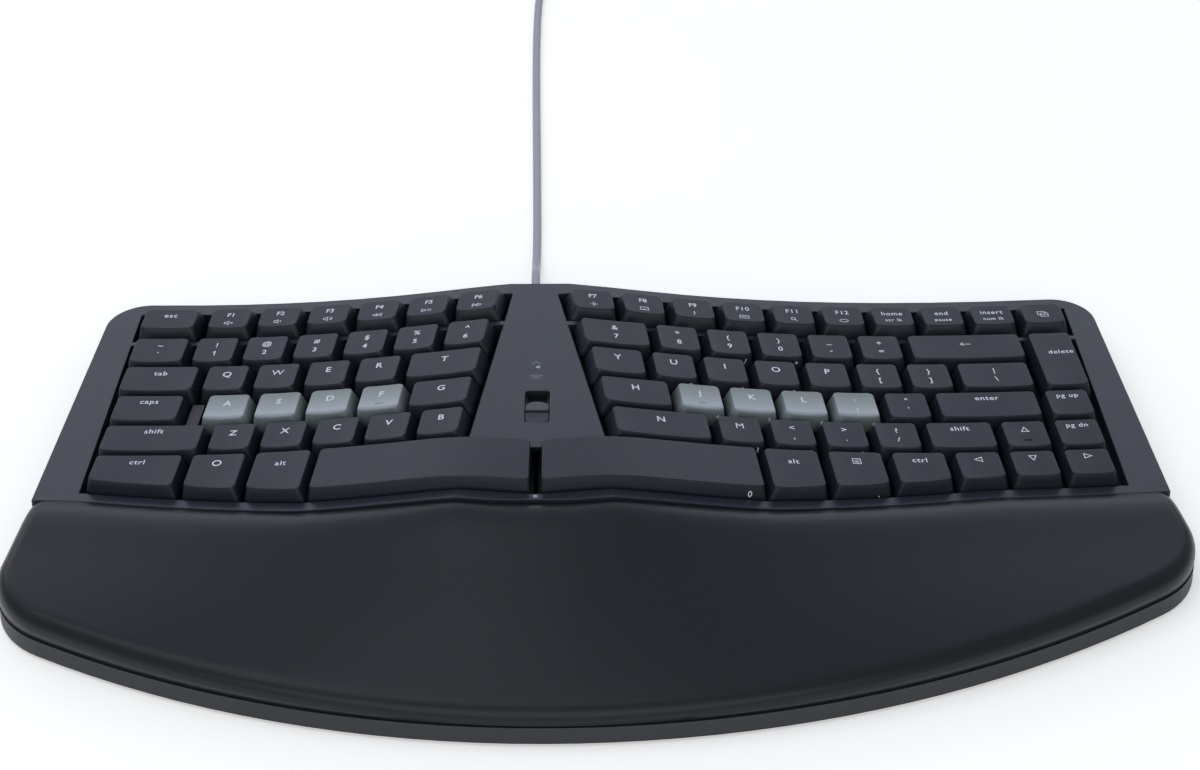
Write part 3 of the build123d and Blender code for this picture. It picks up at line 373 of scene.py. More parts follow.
@dataclass(frozen=True)
class Wave:
    """Plan of the halves and the wave of the key tops, in millimetres."""

    pitch: float = 19.05
    splay: float = 6.75
    wedge_x: float = -22.2
    wedge_offset: float = 18.8
    block_y: float = 34.8
    crest: float = 42.0
    tent_fall: float = 24.0
    tent_spread: float = 89.0
    tent_ease: float = 1.17
    bezel_drop: float = 4.6

    def fall(self, a: Array) -> Array:
        """Drop of the key tops at the distances a outwards: 24 (1 - exp(-(a / 89)^1.17))."""
        out = np.maximum(np.asarray(a, float), 0.0)
        return self.tent_fall * (1 - np.exp(-(out / self.tent_spread) ** self.tent_ease))

    def spot(self, half: Half, a: Array, t: Array) -> Tuple[Array, Array]:
        """Plan place of points at a outwards and t along the columns of a half.

        Args:
            half: The half.
            a: Distances outwards from the wedge.
            t: Places along the key columns.

        Returns:
            X and Y in the keyboard's frame.
        """
        side = half.value
        turn = math.radians(side * self.splay)
        u = side * np.asarray(a, float)
        v = np.asarray(t, float)
        x = self.wedge_x + side * self.wedge_offset + u * math.cos(turn) - v * math.sin(turn)
        y = self.block_y + u * math.sin(turn) + v * math.cos(turn)
        return x, y

    def local(self, half: Half, x: Array, y: Array) -> Tuple[Array, Array]:
        """The reverse of spot.

        Args:
            half: The half.
            x: X in the keyboard's frame.
            y: Y in the keyboard's frame.

        Returns:
            Distances outwards and places along the columns.
        """
        side = half.value
        turn = math.radians(side * self.splay)
        dx = np.asarray(x, float) - self.wedge_x - side * self.wedge_offset
        dy = np.asarray(y, float) - self.block_y
        u = dx * math.cos(turn) + dy * math.sin(turn)
        return side * u, -dx * math.sin(turn) + dy * math.cos(turn)

    def bezel(self, x: Array, y: Array) -> Array:
        """Height of the key casing's top: the crest less the bezel's drop and the half's own fall.

        Args:
            x: X of the points.
            y: Y of the points.

        Returns:
            Heights.
        """
        side = np.where(np.asarray(x) > self.wedge_x, 1, -1)
        a_left, _ = self.local(Half.LEFT, x, y)
        a_right, _ = self.local(Half.RIGHT, x, y)
        a = np.where(side > 0, a_right, a_left)
        return self.crest - self.bezel_drop - self.fall(a)

    def row_centre(self, row: int) -> float:
        """Column position of the middle of a letter row."""
        return (2.5 - row) * self.pitch

    def step_out(self, a: float, length: float) -> float:
        """Plan distance reached after a chord along the wave, found by repeating with its rise.

        Args:
            a: Where the chord starts.
            length: Its length.

        Returns:
            Where it stops.
        """
        stop = a + length
        for _ in range(6):
            rise = float(self.fall(stop) - self.fall(a))
            stop = a + math.sqrt(length ** 2 - rise ** 2)
        return stop


# Keycaps


@dataclass(frozen=True)
class Key:
    """One keycap: its node, name, half, place and the tapers of its sides."""

    node: str
    name: str
    half: Half
    start: float
    stop: float
    rear: float
    front_start: float
    front_stop: float
    rear_taper: float
    front_taper: float


Row = Tuple[int, float, Tuple[Tuple[Optional[str], str, float], ...]]


def row_of(row: int, start: float, words: str) -> Row:
    """One key row from a plain line of words.

    Args:
        row: The row, counted from the rear.
        start: Where it starts, out from the wedge.
        words: Node, key and width of each cap, with a dash as node for a gap.

    Returns:
        The row.
    """
    parts = words.split()
    entries = []
    for node, name, units in zip(parts[0::3], parts[1::3], parts[2::3]):
        entries.append((None if node == "-" else node, name, float(units)))
    return row, start, tuple(entries)


def run(node: str, names: str, units: float = 1.0) -> str:
    """Words of neighbouring caps that share a node and a width."""
    return " ".join(f"{node} {name} {units}" for name in names.split()) + " "


@dataclass
class KeyLayout:
    """All keys of both halves, row by row outwards from the wedge."""

    wave: Wave = field(default_factory=Wave)
    gap: float = 1.0
    side_taper: float = 1.6
    front_taper: float = 1.4
    function_depth: float = 17.4
    function_taper: float = 2.4
    function_gap: float = 2.7
    thumb_rear_taper: float = 0.9
    thumb_outer_depth: float = 17.0
    thumb_extra_depth: float = 9.0
    slant_start: float = 55.0
    slant_run: float = 80.0
    space_gap: float = 2.6
    rows: Dict[Half, Tuple[Row, ...]] = field(default_factory=lambda: {
        Half.LEFT: (
            row_of(0, 0.7, run("function_keys_left", "f6 f5 f4 f3 f2 f1") + "- gap 0.08 escape_key esc 1.28"),
            row_of(1, 1.8, run("number_keys_left", "6 5 4 3 2 1") + "number_keys_left backquote 1.26"),
            row_of(2, 1.8, "upper_letters_left t 1.58 " + run("upper_letters_left", "r e w q")
                   + "tab_key tab 1.64"),
            row_of(3, 2.4, "g_key g 1.33 " + run("home_keys_left", "f d s a")
                   + "- filler 0.3 caps_lock_key caps 1.49"),
            row_of(4, 2.6, run("lower_letters_left", "b v c x z") + "left_shift_key shift 2.09"),
            row_of(5, 55.0, "left_alt_key alt 1.25 left_system_key system 1.21 left_control_key ctrl 1.85"),
        ),
        Half.RIGHT: (
            row_of(0, -2.4, run("function_keys_right", "f7 f8 f9 f10 f11 f12")
                   + run("navigation_keys", "home end") + run("navigation_keys", "insert capture", 1.02)),
            row_of(1, -1.2, "number_keys_right 7 1.48 " + run("number_keys_right", "8 9 0 minus equal")
                   + "backspace_key backspace 2.42 delete_key delete 1.02"),
            row_of(2, 0.4, "upper_letters_right y 1.18 "
                   + run("upper_letters_right", "u i o p open_bracket close_bracket")
                   + "upper_letters_right backslash 1.58"),
            row_of(3, 1.5, "h_and_quote_keys h 1.49 " + run("home_keys_right", "j k l semicolon")
                   + "h_and_quote_keys quote 1.0 enter_key enter 2.14 page_up_key page_up 1.02"),
            row_of(4, 3.4, "lower_letters_right n 2.0 " + run("lower_letters_right", "m comma period slash")
                   + "right_shift_key shift 1.45 arrow_up_key up 1.03 page_down_key page_down 1.03"),
            row_of(5, 55.6, "right_alt_key alt 1.21 menu_key menu 1.21 right_control_key ctrl 1.2 "
                   + "arrow_left_key left 1.04 arrow_down_key down 1.04 arrow_right_key right 1.04"),
        ),
    })

    @property
    def thumb_rear(self) -> float:
        """Rear of the thumb row's skirts."""
        return self.wave.row_centre(4) - self.wave.pitch / 2 - self.gap / 2

    def thumb_front(self, a: Array) -> Array:
        """Front of the thumb row's skirts, which runs deeper towards the middle."""
        share = np.clip((self.slant_start + self.slant_run - np.asarray(a, float)) / self.slant_run, 0, 1)
        return self.thumb_rear - self.thumb_outer_depth - self.thumb_extra_depth * share

    def middle_line(self, t: Array, gap: float) -> Array:
        """Distance out of the keyboard's middle line plus a gap, at the column positions t."""
        turn = math.radians(self.wave.splay)
        return (np.asarray(t, float) * math.sin(turn) - self.wave.wedge_offset + gap) / math.cos(turn)

    def space_end(self, half: Half) -> float:
        """Distance out of a spacebar's outer end, one gap short of the first thumb key."""
        thumb_keys = [k for k in self.keys() if k.half is half and k.rear == self.thumb_rear]
        return min(k.start for k in thumb_keys) - self.gap

    def keys(self) -> List[Key]:
        """Every key but the two spacebars.

        Returns:
            The keys.
        """
        w = self.wave
        number_rear = w.row_centre(1) + w.pitch / 2 - self.gap / 2
        function_front = number_rear + self.gap + self.function_gap
        out = []
        for half, rows in self.rows.items():
            for row, start, entries in rows:
                a = w.step_out(0.0, start) if start > 0 else start
                for node, name, units in entries:
                    stop = w.step_out(a, units * w.pitch)
                    lo = a + self.gap / 2
                    hi = stop - self.gap / 2
                    a = stop
                    if node is None:
                        continue
                    rear = w.row_centre(row) + w.pitch / 2 - self.gap / 2
                    front = w.row_centre(row) - w.pitch / 2 + self.gap / 2
                    fronts = (front, front)
                    tapers = (self.front_taper, self.front_taper)
                    if row == 0:
                        rear = function_front + self.function_depth
                        fronts = (function_front, function_front)
                        tapers = (self.function_taper, self.function_taper)
                    if row == 5:
                        rear = self.thumb_rear
                        fronts = (float(self.thumb_front(lo)), float(self.thumb_front(hi)))
                        tapers = (self.thumb_rear_taper, self.front_taper)
                    if name == "delete":
                        fronts = (front - w.pitch, front - w.pitch)
                    out.append(Key(node, name, half, lo, hi, rear, fronts[0], fronts[1], *tapers))
        return out


def ring_shell(rings: Array, pole_start: Array, pole_end: Array) -> Solid:
    """Closed shells from rings of points, with a fan at each end.

    Args:
        rings: Points of shape (shells, rings, points round, 3), each ring anticlockwise from above,
            from the top's middle outwards, down and back in.
        pole_start: Middle points that close the first rings, of shape (shells, 3).
        pole_end: Middle points that close the last rings.

    Returns:
        Vertices and faces.
    """
    shells, count, around, _ = rings.shape
    size = count * around + 2
    verts = np.concatenate([rings.reshape(shells, -1, 3), pole_start[:, None], pole_end[:, None]], axis=1)
    r, n = np.meshgrid(np.arange(count - 1), np.arange(around), indexing="ij")
    m = (n + 1) % around
    quads = np.stack([r * around + n, (r + 1) * around + n, (r + 1) * around + m, r * around + m], axis=-1)
    quads = quads.reshape(-1, 4)
    n = np.arange(around)
    m = (n + 1) % around
    first = np.stack([np.full(around, count * around), n, m], axis=-1)
    last_row = (count - 1) * around
    last = np.stack([np.full(around, count * around + 1), last_row + m, last_row + n], axis=-1)
    tris = np.concatenate([first, last])
    base = (np.arange(shells) * size)[:, None, None]
    faces = (quads[None] + base).reshape(-1, 4).tolist() + (tris[None] + base).reshape(-1, 3).tolist()
    return verts.reshape(-1, 3), faces


def merge(parts: Iterable[Solid]) -> Solid:
    """One mesh of several.

    Args:
        parts: Vertices and faces of each.

    Returns:
        Vertices and faces of all.
    """
    verts = np.zeros((0, 3))
    faces: List[Sequence[int]] = []
    for more, more_faces in parts:
        faces += [[i + len(verts) for i in f] for f in more_faces]
        verts = np.concatenate([verts, more])
    return verts, faces


def new_object(name: str, data: bpy.types.ID) -> bpy.types.Object:
    """Object that is linked to the scene.

    Args:
        name: Its name.
        data: Its mesh, curve, lamp or camera.

    Returns:
        The object.
    """
    obj = bpy.data.objects.new(name, data)
    bpy.context.scene.collection.objects.link(obj)
    return obj


def make_piece(name: str, solid: Solid, material: bpy.types.Material, uv: Optional[Array] = None,
               smooth: bool = True) -> bpy.types.Object:
    """Mesh object from arrays in millimetres.

    Args:
        name: The piece's name.
        solid: Points in millimetres, and faces as lists of point numbers.
        material: Its finish.
        uv: Map place of each vertex, if the finish follows the surface.
        smooth: Whether the faces shade smoothly.

    Returns:
        The object, at the origin.
    """
    mesh = bpy.data.meshes.new(name)
    mesh.from_pydata((np.asarray(solid[0]) * MM).tolist(), [], list(solid[1]))
    mesh.update()
    if smooth:
        mesh.polygons.foreach_set("use_smooth", np.ones(len(mesh.polygons), bool))
    if uv is not None:
        corner = np.empty(len(mesh.loops), int)
        mesh.loops.foreach_get("vertex_index", corner)
        layer = mesh.uv_layers.new(name="cap_map")
        layer.data.foreach_set("uv", np.asarray(uv, np.float32)[corner].ravel())
    mesh.materials.append(material)
    return new_object(name, mesh)


@dataclass(frozen=True)
class RoundedOutline:
    """Weights that turn half sizes and a corner radius into a rounded rectangle.

    A point is (ax hx + bx r, ay hy + by r), so many outlines are worked out at once.
    """

    corner_points: int = 6
    edge_x: int = 6
    edge_y: int = 5

    def weights(self) -> Array:
        """Weights ax, bx, ay, by of every point, anticlockwise from the right edge's lower end.

        Returns:
            An array of four columns.
        """
        out = []
        quarter = np.linspace(0, np.pi / 2, self.corner_points)
        up = np.linspace(-1, 1, self.edge_y + 1)[1:-1]
        along = np.linspace(1, -1, self.edge_x + 1)[1:-1]
        for k, (sx, sy) in enumerate(((1, 1), (-1, 1), (-1, -1), (1, -1))):
            turn = quarter + k * np.pi / 2
            side = {0: (np.ones_like(up), 0 * up, up, -up),
                    1: (along, -along, np.ones_like(along), 0 * along),
                    2: (-np.ones_like(up), 0 * up, -up, up),
                    3: (-along, along, -np.ones_like(along), 0 * along)}[k]
            out.append(np.stack(side, axis=-1))
            out.append(np.stack([np.full_like(turn, sx), np.cos(turn) - sx,
                                 np.full_like(turn, sy), np.sin(turn) - sy], axis=-1))
        return np.concatenate(out)


@dataclass(frozen=True)
class CapForm:
    """Section of every keycap, from the middle of its top over its edge, down and back inside."""

    height: float = 6.4
    edge: float = 0.3
    corner_top: float = 1.9
    corner_skirt: float = 1.15
    wall: float = 1.1
    roof: float = 1.4
    dish: float = 0.42
    dish_rear: float = 0.35
    fade: float = 2.2
    shrink: float = 0.6
    least_corner: float = 0.35
    skirt_rows: Tuple[float, ...] = (2.0, 4.0, 6.1)
    rim: float = 0.15
    roof_gap: float = 0.5

    def stations(self, steps: int = TOP_ROWS) -> Array:
        """Rows of the section: scale towards the middle, inset, depth, whether it is inside.

        Args:
            steps: How many rows the top has.

        Returns:
            An array of four columns.
        """
        scales = np.sin(np.linspace(0.4 / steps, 1, steps) * np.pi / 2)
        rows = [(s, self.edge, 0.0, 0.0) for s in scales]
        for turn in (22.5, 45.0, 67.5, 90.0):
            angle = math.radians(turn)
            rows.append((1.0, self.edge * (1 - math.sin(angle)), self.edge * (1 - math.cos(angle)), 0.0))
        ceiling = self.roof + self.roof_gap
        rows += [(1.0, 0.0, depth, 0.0) for depth in self.skirt_rows]
        rows += [(1.0, self.rim, self.height, 0.0), (1.0, self.wall, self.height, 1.0)]
        rows += [(1.0, self.wall, ceiling, 1.0), (0.5, self.wall, ceiling, 1.0)]
        return np.array(rows)


@dataclass
class Keycaps:
    """All keycaps as dished, round-edged shells, one piece for each node."""

    layout: KeyLayout
    finishes: Finishes
    form: CapForm = field(default_factory=CapForm)
    outline: RoundedOutline = field(default_factory=RoundedOutline)
    space_outline: RoundedOutline = RoundedOutline(6, 90, 14)
    space_steps: int = 20
    space_blend: float = 13.0
    bar_width: float = 3.4
    bar_depth: float = 0.7
    bar_height: float = 0.45
    bar_place: float = 0.27
    bar_square: float = 0.6
    bar_sink: float = 0.12
    bar_root: float = 0.05
    bar_map: float = 0.3
    barred: Tuple[str, ...] = ("f", "j", "up")
    space_half: Tuple[float, float] = (36.0, 13.0)
    space_corner: float = 1.7
    space_least_corner: float = 0.4
    space_end_taper: float = 0.9

    def spans(self, keys: Sequence[Key]) -> Array:
        """Side, start and stop of each key, as three rows."""
        return np.array([(k.half.value, k.start, k.stop) for k in keys], float).T

    def frames(self, keys: Sequence[Key]) -> Tuple[Array, Array]:
        """Places of the caps' tops.

        The cap lies on the chord of the wave between its two sides, so its slope is
        atan2(fall(stop) - fall(start), stop - start) about the column direction.

        Args:
            keys: The keys.

        Returns:
            Turning matrices of shape (keys, 3, 3) and origins of shape (keys, 3).
        """
        w = self.layout.wave
        side, start, stop = self.spans(keys)
        fall_start = w.fall(start)
        fall_stop = w.fall(stop)
        tilt = side * np.arctan2(fall_stop - fall_start, stop - start)
        turn = np.radians(side * w.splay)
        zero = np.zeros(len(keys))
        one = np.ones(len(keys))
        about_y = np.array([[np.cos(tilt), zero, np.sin(tilt)], [zero, one, zero],
                            [-np.sin(tilt), zero, np.cos(tilt)]]).transpose(2, 0, 1)
        about_z = np.array([[np.cos(turn), -np.sin(turn), zero], [np.sin(turn), np.cos(turn), zero],
                            [zero, zero, one]]).transpose(2, 0, 1)
        middle = side * (start + stop) / 2
        x = w.wedge_x + side * w.wedge_offset + middle * np.cos(turn)
        y = w.block_y + middle * np.sin(turn)
        z = w.crest - (fall_start + fall_stop) / 2
        return about_z @ about_y, np.stack([x, y, z], axis=-1)

    def corners(self, keys: Sequence[Key], drawn_in: float) -> Array:
        """Corners of the skirts, or of the tops where drawn in, in the caps' own frames.

        Args:
            keys: The keys.
            drawn_in: 0 at the skirt and 1 at the top.

        Returns:
            Corners of shape (keys, 4, 2), anticlockwise from the front left.
        """
        w = self.layout.wave
        side, start, stop = self.spans(keys)
        reach = np.hypot(stop - start, w.fall(stop) - w.fall(start)) / 2 - self.layout.side_taper * drawn_in
        rear = np.array([k.rear - k.rear_taper * drawn_in for k in keys])
        inner = np.array([k.front_start + k.front_taper * drawn_in for k in keys])
        outer = np.array([k.front_stop + k.front_taper * drawn_in for k in keys])
        left = np.where(side > 0, inner, outer)
        right = np.where(side > 0, outer, inner)
        return np.stack([np.stack([-reach, left], -1), np.stack([reach, right], -1),
                         np.stack([reach, rear], -1), np.stack([-reach, rear], -1)], axis=1)

    def dish(self, xi: Array, eta: Array, depth: Array) -> Array:
        """Hollow of the top: dish (1 - xi^2) times a share that falls to the rear, fading down the sides.

        Args:
            xi: Places across the cap, from -1 to 1.
            eta: Places from its front to its rear, from -1 to 1.
            depth: Depths under the top.

        Returns:
            How far the points sink.
        """
        share = self.form.dish_rear + (1 - self.form.dish_rear) * (1 - (eta + 1) / 2)
        fade = np.clip(1 - depth / self.form.fade, 0, 1)
        return self.form.dish * (1 - np.clip(xi, -1, 1) ** 2) * share * fade

    def cap_points(self, keys: Sequence[Key]) -> Tuple[Array, Array]:
        """Points of the caps' shells in the caps' own frames.

        Each ring is a rounded rectangle in a unit square that is stretched between the four corners
        of the cap at its depth; the rings go from the top's middle over the edge, down and inside.

        Args:
            keys: The keys.

        Returns:
            Rings of shape (keys, rings, points, 3) and their map places.
        """
        rows = self.form.stations()
        ax, bx, ay, by = self.outline.weights().T
        skirt = self.corners(keys, 0)
        top = self.corners(keys, 1)
        depth = rows[:, 2]
        share = 1 - depth / self.form.height
        quad = skirt[:, None] * (1 - share)[None, :, None, None] + top[:, None] * share[None, :, None, None]
        signs = np.array([(1, 1), (-1, 1), (-1, -1), (1, -1)], float)
        quad = quad + rows[:, 1][None, :, None, None] * signs
        hx = (quad[..., 1, 0] - quad[..., 0, 0]) / 2
        hy = (quad[..., 2, 1] - quad[..., 0, 1] + quad[..., 2, 1] - quad[..., 1, 1]) / 4
        radius = self.form.corner_skirt + (self.form.corner_top - self.form.corner_skirt) * share
        radius = np.maximum(radius - rows[:, 1] * self.form.shrink, self.form.least_corner)[None, :, None]
        scale = rows[:, 0][None, :, None]
        xi = (ax * hx[..., None] + bx * radius) / hx[..., None] * scale
        eta = (ay * hy[..., None] + by * radius) / hy[..., None] * scale
        points = self.stretch(quad, xi, eta)
        edge_row = slice(TOP_ROWS - 1, TOP_ROWS)
        full_x = xi * (hx / hx[:, edge_row])[..., None]
        full_y = eta * (hy / hy[:, edge_row])[..., None]
        inside = rows[:, 3][None, :, None]
        z = -depth[None, :, None] - self.dish(full_x, full_y, depth[None, :, None]) * (1 - inside)
        rings = np.concatenate([points, z[..., None]], axis=-1)
        uv = np.stack([full_x, full_y], axis=-1) * 0.5 + 0.5
        return rings, uv

    def stretch(self, quad: Array, xi: Array, eta: Array) -> Array:
        """Places of unit-square points between four corners, by bilinear mixing.

        Args:
            quad: Corners, anticlockwise from the front left.
            xi: Places across, from -1 to 1.
            eta: Places from front to rear, from -1 to 1.

        Returns:
            Plan places of the points.
        """
        p = (xi[..., None] + 1) / 2
        q = (eta[..., None] + 1) / 2
        c = quad[..., None, :, :]
        low = c[..., 0, :] * (1 - p) + c[..., 1, :] * p
        high = c[..., 3, :] * (1 - p) + c[..., 2, :] * p
        return low * (1 - q) + high * q

    def build_caps(self) -> List[bpy.types.Object]:
        """Make one piece for each node's caps and set it on its body.

        Returns:
            The pieces.
        """
        out = []
        groups: Dict[str, List[Key]] = {}
        for key in self.layout.keys():
            groups.setdefault(key.node, []).append(key)
        for node, keys in groups.items():
            rings, uv = self.cap_points(keys)
            turn, origin = self.frames(keys)
            ends = [np.einsum("kij,kj->ki", turn, rings[:, i].mean(axis=1)) + origin for i in (0, -1)]
            rings = np.einsum("kij,krnj->krni", turn, rings) + origin[:, None, None]
            bars = [self.homing_bar(k) for k in keys if k.name in self.barred]
            verts, faces = merge([ring_shell(rings, *ends)] + bars)
            poles = np.full((len(keys), 2, 2), 0.5)
            flat_uv = np.concatenate([uv.reshape(len(keys), -1, 2), poles], axis=1).reshape(-1, 2)
            bar_uv = np.full((len(verts) - len(flat_uv), 2), self.bar_map)
            finish = self.finishes.home if node.startswith("home_keys") else self.finishes.cap
            piece = make_piece(f"caps_{node}", (verts, faces), self.finishes.get(finish),
                               np.concatenate([flat_uv, bar_uv]))
            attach(piece, node)
            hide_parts(node)
            out.append(piece)
        return out

    def homing_bar(self, key: Key) -> Solid:
        """Small ridge near the front of a cap's top: half an ellipsoid, squared off sideways.

        Args:
            key: The key that has it.

        Returns:
            Vertices and faces.
        """
        quad = self.corners([key], 1)[0]
        y = quad[0, 1] + (quad[2, 1] - quad[0, 1]) * self.bar_place
        angle = np.linspace(0, 2 * np.pi, 20, endpoint=False)
        tilt = np.linspace(0.15, 1, 6) * np.pi / 2
        run_x = np.cos(angle)[None] * np.sin(tilt)[:, None]
        run_y = np.sin(angle)[None] * np.sin(tilt)[:, None]
        run_z = np.cos(tilt)[:, None] * np.ones_like(angle)[None]
        base = -self.form.dish * 0.8 - self.bar_sink
        x = np.sign(run_x) * np.abs(run_x) ** self.bar_square * self.bar_width / 2
        rings = np.stack([x, y + run_y * self.bar_depth / 2, base + run_z * self.bar_height], axis=-1)[None]
        top = np.array([[0, y, base + self.bar_height]])
        low = np.array([[0, y, base - self.bar_root]])
        turn, origin = self.frames([key])
        verts, faces = ring_shell(rings, top, low)
        return verts @ turn[0].T + origin[0], faces

    def evened(self, values: Callable[[Array], Array], a: Array) -> Array:
        """Mean of a function over its neighbours within the blend on both sides."""
        shifts = np.linspace(-self.space_blend, self.space_blend, 13)
        return np.mean([values(a + s) for s in shifts], axis=0)

    def build_spacebars(self) -> List[bpy.types.Object]:
        """Make both spacebars, whose tops follow the wave.

        A point of the unit square goes to t between the front edge and the rear, then to a between
        the keyboard's middle line and the outer end; its height is the wave's there less its depth.
        Both the front edge and the wave are averaged over their neighbours, so the top is even.

        Returns:
            The pieces.
        """
        lay = self.layout
        w = lay.wave
        rows = self.form.stations(self.space_steps)
        ax, bx, ay, by = self.space_outline.weights().T
        out = []
        for half in Half:
            side = half.value
            end = lay.space_end(half)
            depth = rows[:, 2][:, None]
            share = 1 - depth / self.form.height
            inset = rows[:, 1][:, None]
            hx, hy = self.space_half
            radius = np.maximum(self.space_corner - inset * self.form.shrink, self.space_least_corner)
            xi = (ax * hx + bx * radius) / hx * rows[:, 0][:, None]
            eta = (ay * hy + by * radius) / hy * rows[:, 0][:, None]
            outward = (side * xi + 1) / 2
            a = outward * end
            for _ in range(4):
                front = self.evened(lay.thumb_front, a) + lay.front_taper * share + inset
                rear = lay.thumb_rear - lay.thumb_rear_taper * share - inset
                t = front + (rear - front) * (eta + 1) / 2
                inner = lay.middle_line(t, lay.space_gap / 2) + self.space_end_taper * share + inset
                outer = end - self.space_end_taper * share - inset
                a = inner + (outer - inner) * outward
            x, y = w.spot(half, a, t)
            rings = np.stack([x, y, w.crest - self.evened(w.fall, a) - depth], axis=-1)[None]
            solid = ring_shell(rings, rings[:, 0].mean(axis=1), rings[:, -1].mean(axis=1))
            node = f"space_key_{half.name.lower()}"
            piece = make_piece(f"caps_{node}", solid, self.finishes.get(self.finishes.cap),
                               np.full((len(solid[0]), 2), 0.5))
            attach(piece, node)
            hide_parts(node)
            out.append(piece)
        return out


# Prints on the keys


@dataclass(frozen=True)
class Mark:
    """One print: words or strokes, its place from the middle of its face, and its size in mm."""

    words: str = ""
    x: float = 0.0
    y: float = 0.0
    size: float = 4.0
    strokes: Tuple[Line, ...] = ()
    width: float = 0.36
    face: Face = Face.TOP


def sign(*strokes: Line, width: float = 0.26, y: float = 0.0) -> Tuple[Mark, ...]:
    """Marks of a key with one sign drawn by strokes."""
    return (Mark(strokes=strokes, width=width, y=y),)


def ring_of(cx: float, cy: float, rx: float, ry: float, start: float = 0.0, stop: float = 360.0,
            count: int = 20) -> Line:
    """Points of an elliptic arc between two angles in degrees."""
    turn = np.radians(np.linspace(start, stop, count))
    return tuple(zip((cx + rx * np.cos(turn)).tolist(), (cy + ry * np.sin(turn)).tolist()))


def box_of(cx: float, cy: float, wide: float, high: float) -> Line:
    """Points of an upright rectangle's edge."""
    x, y = wide / 2, high / 2
    return ((cx - x, cy - y), (cx + x, cy - y), (cx + x, cy + y), (cx - x, cy + y), (cx - x, cy - y))


def bar_of(x: float, y: float, reach: float) -> Line:
    """Ends of a level stroke about a place."""
    return ((x - reach, y), (x + reach, y))


def wedge_of(cx: float, cy: float, size: float, turn: float) -> Line:
    """Edge of a triangle that points along a direction.

    Args:
        cx: X of its middle.
        cy: Y of its middle.
        size: Its length.
        turn: The direction in degrees.

    Returns:
        Points, the first again at the end.
    """
    angle = math.radians(turn)
    corners = ((0.55, 0.0), (-0.45, 0.5), (-0.45, -0.5), (0.55, 0.0))
    return tuple((cx + size * (u * math.cos(angle) - v * math.sin(angle)),
                  cy + size * (u * math.sin(angle) + v * math.cos(angle))) for u, v in corners)


